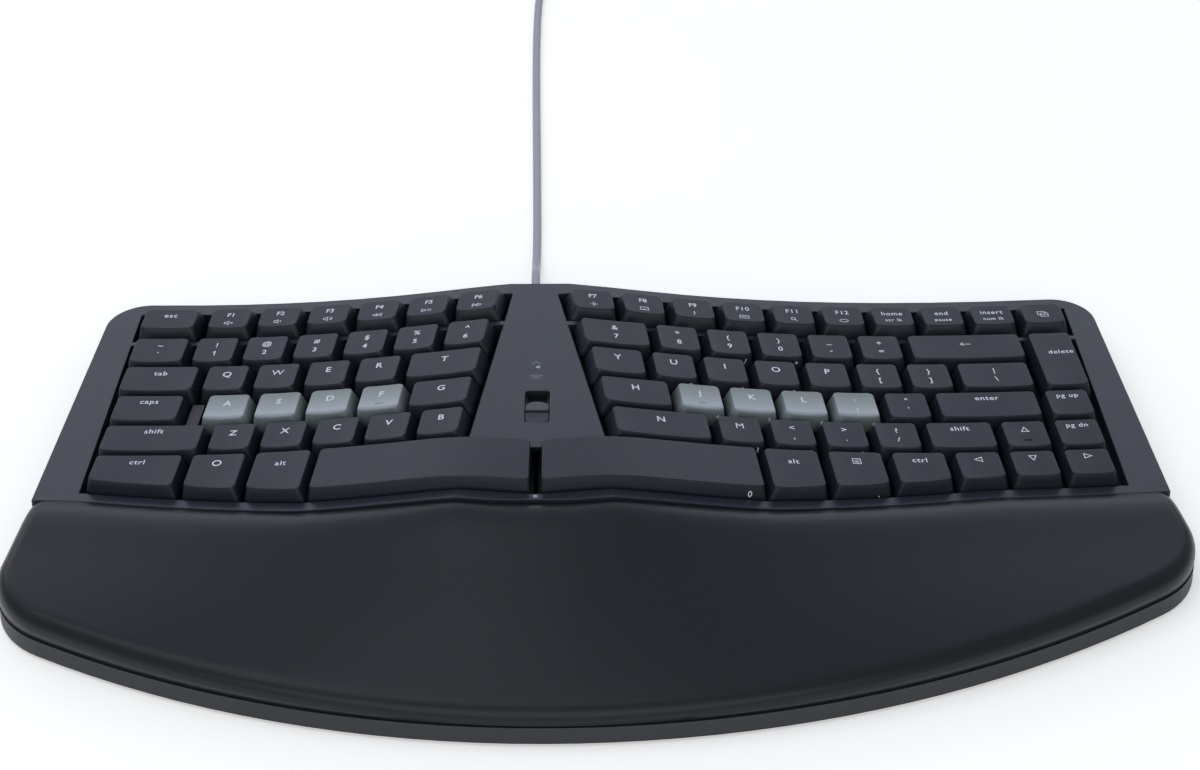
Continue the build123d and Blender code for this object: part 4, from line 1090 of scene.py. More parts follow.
@dataclass
class Legends:
    """Words and small signs printed on the caps."""

    caps: Keycaps
    finishes: Finishes
    thickness: float = 0.1
    proud: float = 0.03
    letter: float = 4.3
    sign_size: float = 3.7
    word: float = 3.65
    lower_sign_y: float = -3.1
    front_shift: float = 5.4
    weight: float = 0.015
    tight_letters: str = "MW"
    word_weight: float = 0.011
    word_spread: float = 1.12
    base_line: float = 0.34
    least_mitre: float = 0.45
    zero_inset: float = 6.2
    zero_size: float = 3.2
    glyphs: Dict[Tuple[str, float], Solid] = field(default_factory=dict)

    def signs(self) -> Dict[str, Tuple[Mark, ...]]:
        """Signs of the function row and of the keys without words.

        Returns:
            Marks by key name.
        """
        low = self.lower_sign_y
        horn = ((-1.6, low - 0.5), (-0.9, low - 0.5), (-0.1, low - 1.1), (-0.1, low + 1.1),
                (-0.9, low + 0.5), (-1.6, low + 0.5), (-1.6, low - 0.5))
        cross = (((0.6, low - 0.5), (1.5, low + 0.5)), ((0.6, low + 0.5), (1.5, low - 0.5)))
        sound = [ring_of(0.1, low, rx, ry, -45, 45, 8) for rx, ry in ((0.8, 0.9), (1.5, 1.4))]
        back, ahead = ([wedge_of(x, low, 1.6, turn) for x in (-0.9, 0.9)] for turn in (180, 0))
        stops = [((x, low - 0.8), (x, low + 0.8)) for x in (0.5, 1.3)]
        rays = (((0, low + 1.0), (0, low + 1.4)), ((0, low - 1.0), (0, low - 1.4)),
                ((1.0, low), (1.4, low)), ((-1.0, low), (-1.4, low)))
        out = {
            "f1": sign(horn, *cross),
            "f2": sign(horn, sound[0]),
            "f3": sign(horn, *sound),
            "f4": sign(*back),
            "f5": sign(wedge_of(-1.2, low, 1.7, 0), *stops),
            "f6": sign(*ahead),
            "f7": sign(ring_of(0, low, 0.6, 0.6), *rays),
            "f8": sign(box_of(0, low, 3.0, 1.8), bar_of(0, low - 0.4, 0.7)),
            "f9": (Mark(words="?", y=low, size=3.0),),
            "f10": sign(box_of(0, low, 3.4, 1.8), bar_of(0, low, 1.0)),
            "f11": sign(ring_of(-0.3, low + 0.3, 0.8, 0.8), ((0.3, low - 0.3), (1.1, low - 1.1)), width=0.28),
            "f12": sign(ring_of(0, low, 1.6, 0.9)),
            "backspace": sign(bar_of(0, 0, 1.9), ((-0.8, 1.0), (-1.9, 0.0), (-0.8, -1.0)), width=0.34, y=1.6),
            "capture": sign(box_of(-0.4, 0.5, 2.8, 2.2), box_of(0.6, -0.5, 2.8, 2.2), width=0.28, y=-0.4),
            "menu": sign(box_of(0, 0, 2.8, 3.0), *(bar_of(0, y, 0.8) for y in (0.6, -0.1, -0.8)),
                         width=0.3, y=4.4),
            "system": sign(ring_of(0, 0, 1.45, 1.45, count=24), width=0.55, y=4.6),
        }
        for name, turn, y in (("left", 180, 3.4), ("right", 0, 3.4), ("down", -90, 3.4), ("up", 90, 2.6)):
            out[name] = sign(wedge_of(0, 0, 2.6, turn), width=0.34, y=y)
        return out

    def words(self) -> Dict[str, Tuple[Mark, ...]]:
        """Letters, numbers and words.

        Returns:
            Marks by key name.
        """
        out = {name: (Mark(words=name.upper(), y=2.3, size=self.letter),)
               for name in "qwertyuiopasdfghjklzxcvbnm"}
        pairs = {lower: upper + lower for upper, lower in zip("!@#$%^&*()", "1234567890")}
        pairs.update({"minus": "_-", "equal": "+=", "open_bracket": "{[", "close_bracket": "}]",
                      "backslash": "|\\", "semicolon": ":;", "quote": "\"'", "comma": "<,",
                      "period": ">.", "slash": "?/", "backquote": "~`"})
        for name, both in pairs.items():
            out[name] = tuple(Mark(words=text, y=y, size=self.sign_size)
                              for text, y in zip(both, (3.0, -2.4)))
        one = sign(((-0.6, 0.7), (0.1, 1.25), (0.1, -1.25)), width=0.44, y=-2.4)
        out["1"] = out["1"][:1] + one
        for i in range(1, 13):
            out[f"f{i}"] = (Mark(words=f"F{i}", y=2.2, size=3.3),)
        plain = {"esc": 2.2, "tab": 3.4, "caps": 4.0, "shift": 4.0, "ctrl": 4.2, "alt": 4.2, "enter": 4.0}
        for name, y in plain.items():
            out[name] = (Mark(words=name, y=y, size=self.word),)
        for name, text, x, y in (("delete", "delete", 2.0, 4.6), ("page_up", "pg up", 0.0, 4.4),
                                 ("page_down", "pg dn", 0.0, 4.4)):
            out[name] = (Mark(words=text, x=x, y=y, size=3.4),)
        for name, lower in (("home", "scr lk"), ("end", "pause"), ("insert", "num lk")):
            out[name] = (Mark(words=name, y=1.8, size=3.3), Mark(words=lower, y=-2.4, size=2.6))
        fronts = {"9": "/", "0": "*", "u": "7", "i": "8", "o": "9", "j": "4", "k": "5", "l": "6",
                  "semicolon": "+", "m": "1", "comma": "2", "period": "3", "slash": "ent", "menu": "."}
        for name, text in fronts.items():
            print_on = Mark(words=text, x=self.front_shift, y=0.3, size=2.6, face=Face.FRONT)
            out[name] = out.get(name, ()) + (print_on,)
        return out

    def glyph(self, text: str, size: float) -> Solid:
        """Words as a thin closed mesh, centred, made once for each text and size.

        Args:
            text: The words.
            size: Letter size in millimetres.

        Returns:
            Vertices in millimetres and faces.
        """
        if (text, size) not in self.glyphs:
            curve = bpy.data.curves.new("words", "FONT")
            curve.body = text
            curve.size = size
            curve.align_x = "CENTER"
            curve.offset = 0.0 if text in self.tight_letters else size * self.weight
            if len(text) > 2:
                curve.offset = size * self.word_weight
                curve.space_character = self.word_spread
            curve.extrude = self.thickness / 2
            curve.resolution_u = 3
            holder = new_object("words", curve)
            mesh = bpy.data.meshes.new_from_object(holder)
            verts = np.empty(len(mesh.vertices) * 3)
            mesh.vertices.foreach_get("co", verts)
            verts = verts.reshape(-1, 3) - np.array([0, size * self.base_line, 0])
            self.glyphs[(text, size)] = (verts, [list(p.vertices) for p in mesh.polygons])
            bpy.data.objects.remove(holder)
            bpy.data.curves.remove(curve)
            bpy.data.meshes.remove(mesh)
        return self.glyphs[(text, size)]

    def stroke(self, points: Line, width: float) -> Solid:
        """Ribbon of one width along a line: each point is pushed both ways along its mitre.

        Args:
            points: The line, closed if its ends meet.
            width: Ribbon width.

        Returns:
            Vertices and faces of a thin closed box along the line.
        """
        line = np.array(points, float)
        closed = bool(np.allclose(line[0], line[-1]) and len(line) > 3)
        if closed:
            line = line[:-1]
        count = len(line)
        ahead = np.roll(line, -1, axis=0) - line
        behind = line - np.roll(line, 1, axis=0)
        if not closed:
            ahead[-1] = behind[-1]
            behind[0] = ahead[0]
        ahead /= np.linalg.norm(ahead, axis=1, keepdims=True)
        behind /= np.linalg.norm(behind, axis=1, keepdims=True)
        normal = np.stack([-(ahead + behind)[:, 1], (ahead + behind)[:, 0]], axis=-1)
        normal /= np.linalg.norm(normal, axis=1, keepdims=True)
        square = np.stack([-ahead[:, 1], ahead[:, 0]], axis=-1)
        stretch = width / 2 / np.maximum((normal * square).sum(axis=1), self.least_mitre)
        push = normal * stretch[:, None]
        high = np.full(count, self.thickness / 2)
        verts = np.concatenate([np.column_stack([line + side * push, level * high])
                                for side, level in ((1, 1), (-1, 1), (-1, -1), (1, -1))])
        i = np.arange(count if closed else count - 1)
        j = (i + 1) % count
        faces = []
        for a, b in ((0, 1), (1, 2), (2, 3), (3, 0)):
            quad = np.stack([a * count + i, b * count + i, b * count + j, a * count + j], axis=-1)
            faces += quad.tolist()
        if not closed:
            faces += [[0, 3 * count, 2 * count, count]]
            last = count - 1
            faces += [[last, count + last, 2 * count + last, 3 * count + last]]
        return verts, faces

    def mark_mesh(self, mark: Mark) -> Solid:
        """Flat mesh of a mark about its own place.

        Args:
            mark: The mark.

        Returns:
            Vertices and faces.
        """
        if mark.words:
            return self.glyph(mark.words, mark.size)
        return merge(self.stroke(line, mark.width) for line in mark.strokes)

    def place_on(self, key: Key, mark: Mark) -> Solid:
        """Mark set on the top or front of its cap.

        On the top each point sinks with the dish; on the front the print lies on the plane
        through the skirt's and the top's front edges.

        Args:
            key: The key.
            mark: The mark.

        Returns:
            Vertices in the keyboard's frame and faces.
        """
        verts, faces = self.mark_mesh(mark)
        verts = verts.copy()
        top = self.caps.corners([key], 1)[0]
        skirt = self.caps.corners([key], 0)[0]
        turn, origin = self.caps.frames([key])
        if mark.face is Face.TOP:
            middle_y = (top[0, 1] + top[1, 1] + 2 * top[2, 1]) / 4
            verts[:, 0] += mark.x
            verts[:, 1] += mark.y + middle_y
            xi = verts[:, 0] / top[1, 0]
            eta = (verts[:, 1] - middle_y) / (top[2, 1] - middle_y)
            verts[:, 2] += self.proud - self.thickness / 2 - self.caps.dish(xi, eta, np.zeros(1))
        else:
            drop = self.caps.form.height
            lean = math.atan2(drop, top[0, 1] - skirt[0, 1])
            up = np.array([0, math.cos(lean), math.sin(lean)])
            out = np.array([0, -math.sin(lean), math.cos(lean)])
            middle = np.array([0, (top[0, 1] + skirt[0, 1]) / 2, -drop / 2])
            verts = (middle + np.outer(verts[:, 0] + mark.x, [1, 0, 0]) + np.outer(verts[:, 1] + mark.y, up)
                     + np.outer(verts[:, 2] + self.proud - self.thickness / 2, out))
        return verts @ turn[0].T + origin[0], faces

    def build(self) -> List[bpy.types.Object]:
        """Make one printed piece for each node with prints.

        Returns:
            The pieces.
        """
        table = self.words()
        for name, marks in self.signs().items():
            table[name] = table.get(name, ()) + marks
        groups: Dict[str, List[Solid]] = {}
        for key in self.caps.layout.keys():
            for mark in table.get(key.name, ()):
                groups.setdefault(key.node, []).append(self.place_on(key, mark))
        out = []
        for node, parts in groups.items():
            piece = make_piece(f"legends_{node}", merge(parts), self.finishes.get(self.finishes.ink),
                               smooth=False)
            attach(piece, node)
            out.append(piece)
        return out

    def build_space_print(self) -> bpy.types.Object:
        """Zero on the front of the right spacebar, near its outer end.

        Its place runs along the front face's own two directions: along the row, and up the face.

        Returns:
            The piece.
        """
        lay = self.caps.layout
        w = lay.wave
        a = lay.space_end(Half.RIGHT) - self.zero_inset
        half_way = self.caps.form.height / 2
        places = np.array([[a, half_way], [a + 1, half_way], [a, half_way - 1]])
        share = 1 - places[:, 1] / self.caps.form.height
        t = self.caps.evened(lay.thumb_front, places[:, 0]) + lay.front_taper * share
        x, y = w.spot(Half.RIGHT, places[:, 0], t)
        spots = np.column_stack([x, y, w.crest - self.caps.evened(w.fall, places[:, 0]) - places[:, 1]])
        along = (spots[1] - spots[0]) / np.linalg.norm(spots[1] - spots[0])
        up = spots[2] - spots[0]
        up -= along * (up @ along)
        up /= np.linalg.norm(up)
        basis = np.array([along, up, np.cross(along, up)])
        verts, faces = self.glyph("0", self.zero_size)
        flat = verts + np.array([0, 0, self.proud - self.thickness / 2])
        piece = make_piece("legend_space_key_right", (spots[0] + flat @ basis, faces),
                           self.finishes.get(self.finishes.ink), smooth=False)
        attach(piece, "space_key_right")
        return piece

    def build_wedge_signs(self) -> bpy.types.Object:
        """Chevron and wireless arcs printed on the centre wedge.

        Returns:
            The piece.
        """
        w = self.caps.layout.wave
        lines = [((-2.1, 11.6), (-0.6, 13.4), (0.9, 11.6))]
        lines += [ring_of(-0.6, 1.3, r, r * 0.8, 55, 125, 10) for r in (1.6, 2.9, 4.2)]
        verts, faces = merge(self.stroke(line, 0.42) for line in lines)
        place = np.array([w.wedge_x, w.block_y, w.crest - w.bezel_drop + self.proud - self.thickness / 2])
        piece = make_piece("wedge_signs", (verts + place, faces), self.finishes.get(self.finishes.faint_ink),
                           smooth=False)
        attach(piece, BODY)
        return piece


# Cord


@dataclass
class Cord:
    """Free cord out of the rear: its route, with the spare length in a tied coil."""

    finishes: Finishes
    nodes: Dict[str, bpy.types.Object]
    wave: Wave = field(default_factory=Wave)
    diameter: float = 3.4
    rest: float = 0.05
    exit_shift: float = 2.4
    exit_height: float = 13.0
    relief_end: float = 134.54
    coil_inner: float = 16.0
    coil_pitch: float = 4.4
    turns_per_layer: int = 2
    layers: int = 4
    tie_room: float = 1.05
    centre: Tuple[float, float] = (14.0, 456.0)
    plug_x: float = -40.0
    plug_height: float = 4.05
    steps_per_turn: int = 16
    declared_length: float = 1.58

    @property
    def desk(self) -> float:
        """Height of the cord's middle line on the desk."""
        return self.rest + self.diameter / 2

    @property
    def outer(self) -> float:
        """Outer radius of the coil's middle line."""
        return self.coil_inner + self.coil_pitch * self.turns_per_layer

    def coil_line(self) -> Array:
        """Control points of the winding.

        The radius shrinks or grows by one pitch a turn within a layer, and between layers the cord
        climbs one pitch in half a turn at a steady radius.

        Returns:
            Points in millimetres.
        """
        per_layer = 4 * self.turns_per_layer
        last = self.layers * (per_layer + 2) - 2
        quarter = np.linspace(0, last, int(last / 4 * self.steps_per_turn) + 1)
        layer = np.minimum(np.floor(quarter / (per_layer + 2)), self.layers - 1)
        step = quarter - layer * (per_layer + 2)
        spiral = np.minimum(step, per_layer)
        climb = np.maximum(step - per_layer, 0) / 2
        inward = np.where(layer % 2 == 0, spiral, per_layer - spiral)
        radius = (self.outer - self.coil_pitch * inward / 4) / math.cos(math.pi / self.steps_per_turn)
        angle = np.radians(-90 + 90 * quarter)
        level = self.desk + self.tie_room
        x = self.centre[0] + radius * np.cos(angle)
        y = self.centre[1] + radius * np.sin(angle)
        return np.column_stack([x, y, level + self.coil_pitch * (layer + climb)])

    def route(self) -> Array:
        """Control points of the whole cord, from the strain relief to the plug.

        Returns:
            Points in millimetres.
        """
        x = self.wave.wedge_x - self.exit_shift
        end = self.relief_end
        desk = self.desk
        level = desk + self.tie_room
        near = self.centre[1] - self.outer
        far = self.centre[1] + self.outer
        top = level + self.coil_pitch * (self.layers - 1)
        start = self.centre[0] - self.diameter
        lead = [(x, end, self.exit_height), (x - 0.2, end + 14, self.exit_height), (x - 0.4, end + 32, desk),
                (x - 0.3, end + 62, desk), (-28.6, 398.0, desk), (-22.5, 416.0, desk + 0.4),
                (-6.0, near, level), (start, near, level)]
        tail = [(start, far, top), (start - 11, far, top), (start - 32, far - 3.8, self.plug_height + 0.3),
                (self.plug_x, far - 4.0, self.plug_height)]
        return np.concatenate([np.array(lead), self.coil_line(), np.array(tail)])

    def build(self) -> bpy.types.Object:
        """Returns:
            The curve.
        """
        points = self.route() * MM
        curve = bpy.data.curves.new("cord_line", "CURVE")
        curve.dimensions = "3D"
        curve.bevel_depth = self.diameter / 2 * MM
        curve.bevel_resolution = 5
        curve.resolution_u = 6
        curve.use_fill_caps = True
        spline = curve.splines.new("NURBS")
        spline.points.add(len(points) - 1)
        spline.points.foreach_set("co", np.column_stack([points, np.ones(len(points))]).ravel())
        spline.order_u = 3
        spline.use_endpoint_u = True
        spline.use_smooth = True
        curve.materials.append(self.finishes.get(self.finishes.jacket))
        piece = new_object("cord", curve)
        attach(piece, BODY)
        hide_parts("cord_lead", "cord_coil", "cord_tail")
        return piece


# Palm rest


def walk(line: Array) -> Array:
    """Distance along a line to each of its points."""
    return np.concatenate([[0], np.cumsum(np.hypot(*np.diff(line, axis=0).T))])


def sampled(line: Array, at: Array, places: Array) -> Array:
    """Points of a line at places between the values that its points have."""
    return np.column_stack([np.interp(places, at, line[:, i]) for i in range(2)])


@dataclass
class PalmRest:
    """Soft-edged palm rest in front of the keys, one closed shell."""

    layout: KeyLayout
    finishes: Finishes
    front_y: float = -157.0
    front_x: float = 4.0
    left_radius: float = 340.0
    right_radius: float = 364.0
    left_x: float = -186.96
    right_x: float = 231.52
    corner: float = 32.0
    lip: float = 13.5
    swell: float = 2.6
    wall: float = 2.4
    edge: float = 5.0
    rear_edge: float = 1.2
    ridge: float = 1.7
    ridge_place: float = 9.0
    parting: float = 8.0
    recess: float = 0.35
    well_clearance: float = 0.8
    front_strip: float = 4.6
    reach: Tuple[float, float] = (152.46, 198.52)
    seam_bend: float = 13.5
    across: int = 220
    rows_up: int = 34
    bow_points: int = 120
    side_points: int = 40
    seam_samples: int = 1200
    seam_reach: float = 26.0
    seam_fade: float = 14.0
    back_run: float = 6.6
    front_run: float = 2.2
    ridge_base: float = 0.25
    rear_depth: float = 6.0
    rear_round: float = 0.6
    foot_rows: Tuple[Tuple[float, bool], ...] = ((0.0, True), (0.4, True), (0.55, False))

    def seam(self) -> Array:
        """Corners of the seam with the key casing, which runs along the thumb row's front.

        Returns:
            Points from left to right.
        """
        lay = self.layout
        out = []
        for half, reach, order in ((Half.LEFT, self.reach[0], 1), (Half.RIGHT, self.reach[1], -1)):
            a = np.array([reach, lay.slant_start + lay.slant_run, lay.slant_start,
                          -0.75 * lay.wave.wedge_offset])
            t = lay.thumb_front(a) - self.well_clearance - self.front_strip
            x, y = lay.wave.spot(half, a, t)
            out.append(np.column_stack([x, y])[::order])
        return np.concatenate(out)

    def outline(self) -> Array:
        """Front and sides of the plan, from the left seam corner round to the right one.

        Two arcs with level tangents at the apex bow the front, straight sides run up to the seam, and
        the corners between them are rounded by arcs.

        Returns:
            Points, evenly spaced.
        """
        w = self.layout.wave
        seam = self.seam()
        apex = np.array([w.wedge_x + self.front_x, w.block_y + self.front_y])
        xs = (w.wedge_x + self.left_x, w.wedge_x + self.right_x)
        radii = (self.left_radius, self.right_radius)
        halves = []
        for x, radius, corner, way in zip(xs, radii, (seam[0], seam[-1]), (-1, 1)):
            centre = apex + np.array([0, radius])
            end_turn = math.asin(abs(x - apex[0]) / radius)
            end = centre + radius * np.array([way * math.sin(end_turn), -math.cos(end_turn)])
            halves.append(self.rounded_side(apex, centre, radius, end, end_turn, corner, way))
        line = np.concatenate([halves[0][::-1], halves[1][1:]])
        at = walk(line)
        return sampled(line, at, np.linspace(0, at[-1], self.across))

    def rounded_side(self, apex: Array, centre: Array, radius: float, end: Array, end_turn: float,
                     corner: Array, way: int) -> Array:
        """Half of the front: the bow from the apex, the rounded corner, then the side.

        The corner's arc touches the bow from inside and the side's line, so its centre lies one
        corner radius inside both.

        Args:
            apex: Foremost point. Not used.
            centre: Centre of the bow.
            radius: Radius of the bow.
            end: Where bow and side would meet.
            end_turn: Angle of that point round the bow. Not used.
            corner: Seam corner where the side ends.
            way: -1 on the left and 1 on the right.

        Returns:
            Points from the apex to the seam corner.
        """
        along = (corner - end) / np.linalg.norm(corner - end)
        inward = np.array([-way * along[1], way * along[0]])
        if inward[0] * way > 0:
            inward = -inward
        base = end + inward * self.corner
        gap = base - centre
        reach = radius - self.corner
        b = float(gap @ along)
        c = float(gap @ gap) - reach ** 2
        hub = base + along * (-b - math.sqrt(b * b - c))
        touch_side = hub - inward * self.corner
        out_dir = (hub - centre) / np.linalg.norm(hub - centre)
        bow_turn = math.atan2(way * out_dir[0], -out_dir[1])
        bow = np.linspace(0, bow_turn, self.bow_points)
        bow_line = centre + radius * np.column_stack([way * np.sin(bow), -np.cos(bow)])
        start = math.atan2(out_dir[1], out_dir[0])
        stop = math.atan2(-inward[1], -inward[0])
        delta = (stop - start + math.pi) % (2 * math.pi) - math.pi
        even = np.linspace(0, 1, self.side_points)
        turn = start + even * delta
        arc = hub + self.corner * np.column_stack([np.cos(turn), np.sin(turn)])
        side = touch_side + even[:, None] * (corner - touch_side)
        return np.concatenate([bow_line, arc[1:], side[1:]])

    def seam_line(self, count: int) -> Array:
        """Smooth seam: the corners' polyline with its bends rounded by averaging along it.

        Args:
            count: How many points.

        Returns:
            Points from left to right.
        """
        seam = self.seam()
        at = walk(seam)
        line = sampled(seam, at, np.linspace(0, at[-1], self.seam_samples))
        spread = max(int(self.seam_bend / (at[-1] / self.seam_samples)), 1)
        kernel = np.hanning(2 * spread + 1)
        kernel /= kernel.sum()
        padded = np.concatenate([2 * line[:1] - line[spread:0:-1], line,
                                 2 * line[-1:] - line[-2:-spread - 2:-1]])
        smooth = np.column_stack([np.convolve(padded[:, i], kernel, "valid") for i in range(2)])
        return sampled(smooth, np.arange(self.seam_samples), np.linspace(0, self.seam_samples - 1, count))

    def height(self, x: Array, y: Array) -> Array:
        """Top of the palm rest over plan points.

        Along each line of equal X the height is the parabola through the seam's height, the middle
        raised by the swell, and the lip at the front. Away from the seam its height is averaged over
        its neighbours, so that no crease runs down the rest. A low ridge stands just before the seam.

        Args:
            x: X of the points.
            y: Y of the points.

        Returns:
            Heights.
        """
        w = self.layout.wave
        seam = self.seam()
        rear = np.interp(x, seam[:, 0], seam[:, 1])
        shifts = np.linspace(-self.seam_reach, self.seam_reach, 9)
        broad = np.mean([w.bezel(x + s, np.interp(x + s, seam[:, 0], seam[:, 1])) for s in shifts], axis=0)
        z_rear = broad + (w.bezel(x, rear) - broad) * np.exp(-np.abs(rear - y) / self.seam_fade)
        back = rear + self.back_run
        front = w.block_y + self.front_y - self.front_run
        q = np.clip((back - y) / (back - front), 0, 1)
        middle = 0.5 * (z_rear + self.lip) + self.swell
        curve = z_rear * (2 * q - 1) * (q - 1) + middle * 4 * q * (1 - q) + self.lip * q * (2 * q - 1)
        ahead = np.maximum(rear - y, 0) / self.ridge_place
        return curve + self.ridge * (ahead * np.exp(1 - ahead) - self.ridge_base)

    def on_top(self, spot: Array, drop: float = 0.0) -> Array:
        """Points at a depth under the top."""
        return np.column_stack([spot, self.height(*spot.T) - drop])

    def build(self) -> bpy.types.Object:
        """Make the shell.

        Rows run from the wall's recessed foot up over the rounded edge, across the top to the seam, down
        behind it and back inside one wall's thickness lower.

        Returns:
            The piece.
        """
        front = self.outline()
        tangent = np.gradient(front, axis=0)
        tangent /= np.linalg.norm(tangent, axis=1, keepdims=True)
        inward = np.column_stack([-tangent[:, 1], tangent[:, 0]])
        edge_line = front + inward * self.edge
        z_edge = self.height(*edge_line.T) - self.edge
        rows = []
        for rise, sunk in self.foot_rows:
            z = self.parting + (z_edge - self.parting) * rise
            rows.append(np.column_stack([front + inward * self.recess * sunk, z]))
        for turn in np.linspace(0, np.pi / 2, 9):
            spot = front + inward * self.edge * (1 - math.cos(turn))
            rows.append(self.on_top(spot, self.edge * (1 - math.sin(turn))))
        seam = self.seam_line(self.across)
        share = np.linspace(0, 1, self.across)
        ends = edge_line[[0, -1], 0] - seam[[0, -1], 0]
        seam[:, 0] += (1 - share) * ends[0] + share * ends[1]
        for part in np.linspace(0, 1, self.rows_up)[1:-1]:
            rows.append(self.on_top(edge_line + (seam - edge_line) * part))
        away = np.array([0.0, -1.0])
        for turn in np.linspace(0.15, 1, 5) * np.pi / 2:
            spot = seam + away * self.rear_edge * (1 - math.sin(turn))
            rows.append(self.on_top(spot, self.rear_edge * self.rear_round * (1 - math.cos(turn))))
        inner_seam = seam + away * self.wall
        rows += [self.on_top(line, self.rear_depth) for line in (seam, inner_seam)]
        for part in (1.0, 0.5, 0.0):
            rows.append(self.on_top(edge_line + (inner_seam - edge_line) * part, self.wall))
        foot = front + inward * self.wall
        rows += [np.column_stack([foot, np.full(self.across, self.parting + rise)]) for rise in (1.0, 0.0)]
        grid = np.array(rows)
        n, m, _ = grid.shape
        i, j = np.meshgrid(np.arange(n), np.arange(m - 1), indexing="ij")
        k = (i + 1) % n
        quads = np.stack([i * m + j, i * m + j + 1, k * m + j + 1, k * m + j], axis=-1)
        faces = quads.reshape(-1, 4).tolist()
        faces.append([int(r * m) for r in range(n)])
        faces.append([int(r * m + m - 1) for r in range(n - 1, -1, -1)])
        piece = make_piece("palm_rest_skin", (grid.reshape(-1, 3), faces),
                           self.finishes.get(self.finishes.palm))
        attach(piece, BODY)
        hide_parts("palm_rest")
        return piece


@dataclass
class ModeKnob:
    """Sliding switch in the wedge: an arched thumb rest, a groove and a lower tail on one base."""

    finishes: Finishes
    arch: float = 3.0
    corner: float = 2.0
    rest_end: float = 0.4
    groove: float = 1.2
    groove_depth: float = 0.9
    tail_step: float = 0.45
    tail_fall: float = 0.8
    edge: float = 0.25

    def plan(self, half: float, rear: float, front: float, arch: float, corner: float) -> Array:
        """Outline about X = 0: half an ellipse at the rear, straight sides, rounded front corners.

        Args:
            half: Half the width.
            rear: Y of the rear end.
            front: Y of the front end.
            arch: Length of the rear half ellipse.
            corner: Radius of the front corners.

        Returns:
            Points, anticlockwise from above.
        """
        turn = np.linspace(0, np.pi, 25)
        back = np.column_stack([half * np.cos(turn), rear - arch + arch * np.sin(turn)])
        quarter = np.linspace(0, np.pi / 2, 7)
        left = np.column_stack([corner - half - corner * np.cos(quarter),
                                front + corner - corner * np.sin(quarter)])
        right = left[::-1] * np.array([-1, 1])
        return np.concatenate([back, left, right])

    def block(self, plan: Array, rear_height: float, front_height: float, low: float) -> Solid:
        """Block over an outline, whose top runs evenly from one height to the other along Y.

        Its edge is a quarter circle of the edge's size, and its sides run down to the low level.

        Args:
            plan: The outline.
            rear_height: Height of the top at the rear end.
            front_height: Height of the top at the front end.
            low: Height of the underside.

        Returns:
            Vertices and faces.
        """
        centre = plan.mean(axis=0)
        turn = np.linspace(0, np.pi / 2, 5)
        inset = np.concatenate([np.full(3, self.edge), self.edge * (1 - np.sin(turn)), [0.0]])
        scale = np.concatenate([[0.3, 0.6, 0.85], np.ones(6)])
        drop = np.concatenate([np.zeros(3), self.edge * (1 - np.cos(turn)), [0.0]])
        away = plan - centre
        length = np.linalg.norm(away, axis=1)
        flat = centre + away * (1 - inset[:, None] / length)[..., None] * scale[:, None, None]
        span = plan[:, 1].max() - plan[:, 1].min()
        share = (plan[:, 1].max() - flat[..., 1]) / span
        z = rear_height + (front_height - rear_height) * share - drop[:, None]
        z[-1] = low
        rings = np.concatenate([flat, z[..., None]], axis=-1)[None]
        return ring_shell(rings, rings[:, 0].mean(axis=1), rings[:, -1].mean(axis=1))

    def build(self) -> bpy.types.Object:
        """Make the knob in its node's box.

        Returns:
            The piece.
        """
        low, high = (np.array(c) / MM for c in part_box("mode_switch_knob"))
        half = (high[0] - low[0]) / 2
        middle = (high[1] + low[1]) / 2
        split = middle + self.rest_end
        base_top = high[2] - self.groove_depth
        corner = min(self.corner, half * 0.8)
        tail_top = high[2] - self.tail_step
        parts = (
            self.block(self.plan(half, high[1], low[1], self.arch, corner), base_top, base_top, low[2]),
            self.block(self.plan(half, high[1], split, self.arch, self.edge), high[2] - 0.1, high[2],
                       base_top - 0.2),
            self.block(self.plan(half, split - self.groove, low[1], self.edge, corner), tail_top,
                       tail_top - self.tail_fall + 0.1, base_top - self.tail_fall),
        )
        verts, faces = merge(parts)
        verts[:, 0] += (high[0] + low[0]) / 2
        piece = make_piece("mode_knob", (verts, faces), self.finishes.get(self.finishes.knob))
        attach(piece, "mode_switch_knob")
        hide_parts("mode_switch_knob")
        return piece


# CAD pieces that keep their shape


@dataclass
class KeptPieces:
    """Nodes that stay as packed and only get their finish."""

    finishes: Finishes
    nodes: Dict[str, bpy.types.Object]

    def table(self) -> Dict[str, Finish]:
        """Finish of each kept node.

        Returns:
            Finishes by node.
        """
        f = self.finishes
        return {
            "base_case": f.base, "key_case": f.case, "palm_rest": f.palm,
            "switch_plate_left": f.plate, "switch_plate_right": f.plate,
            "circuit_board_left": f.board, "circuit_board_right": f.board, "controller_board": f.board,
            "switch_bodies": f.inner, "filler_block": f.filler, "battery": f.cell,
            "mode_switch_body": f.inner, "mode_switch_knob": f.knob, "light_pipes": f.lens,
            "case_screws": f.screw, "rubber_feet": f.rubber, "tilt_foot_left": f.base,
            "tilt_foot_right": f.base, "strain_relief": f.relief, "coil_tie": f.tie,
            "plug_overmold": f.relief, "plug_shell": f.plug,
        }

    def dress(self) -> None:
        """Give every node its finish; caps and cord solids get their pieces' finishes."""
        table = self.table()
        for name, obj in self.nodes.items():
            fallback = self.finishes.jacket if name.startswith("cord_") else self.finishes.cap
            if name.startswith("home_keys"):
                fallback = self.finishes.home
            material = self.finishes.get(table.get(name, fallback))
            if obj.material_slots:
                for slot in obj.material_slots:
                    slot.material = material
            else:
                obj.data.materials.append(material)


# Camera, floor and light


@dataclass(frozen=True)
class Lamp:
    """One softbox: its name, place, size, power and tint."""

    name: str
    place: Triple
    size: Tuple[float, float]
    power: float
    tint: Triple


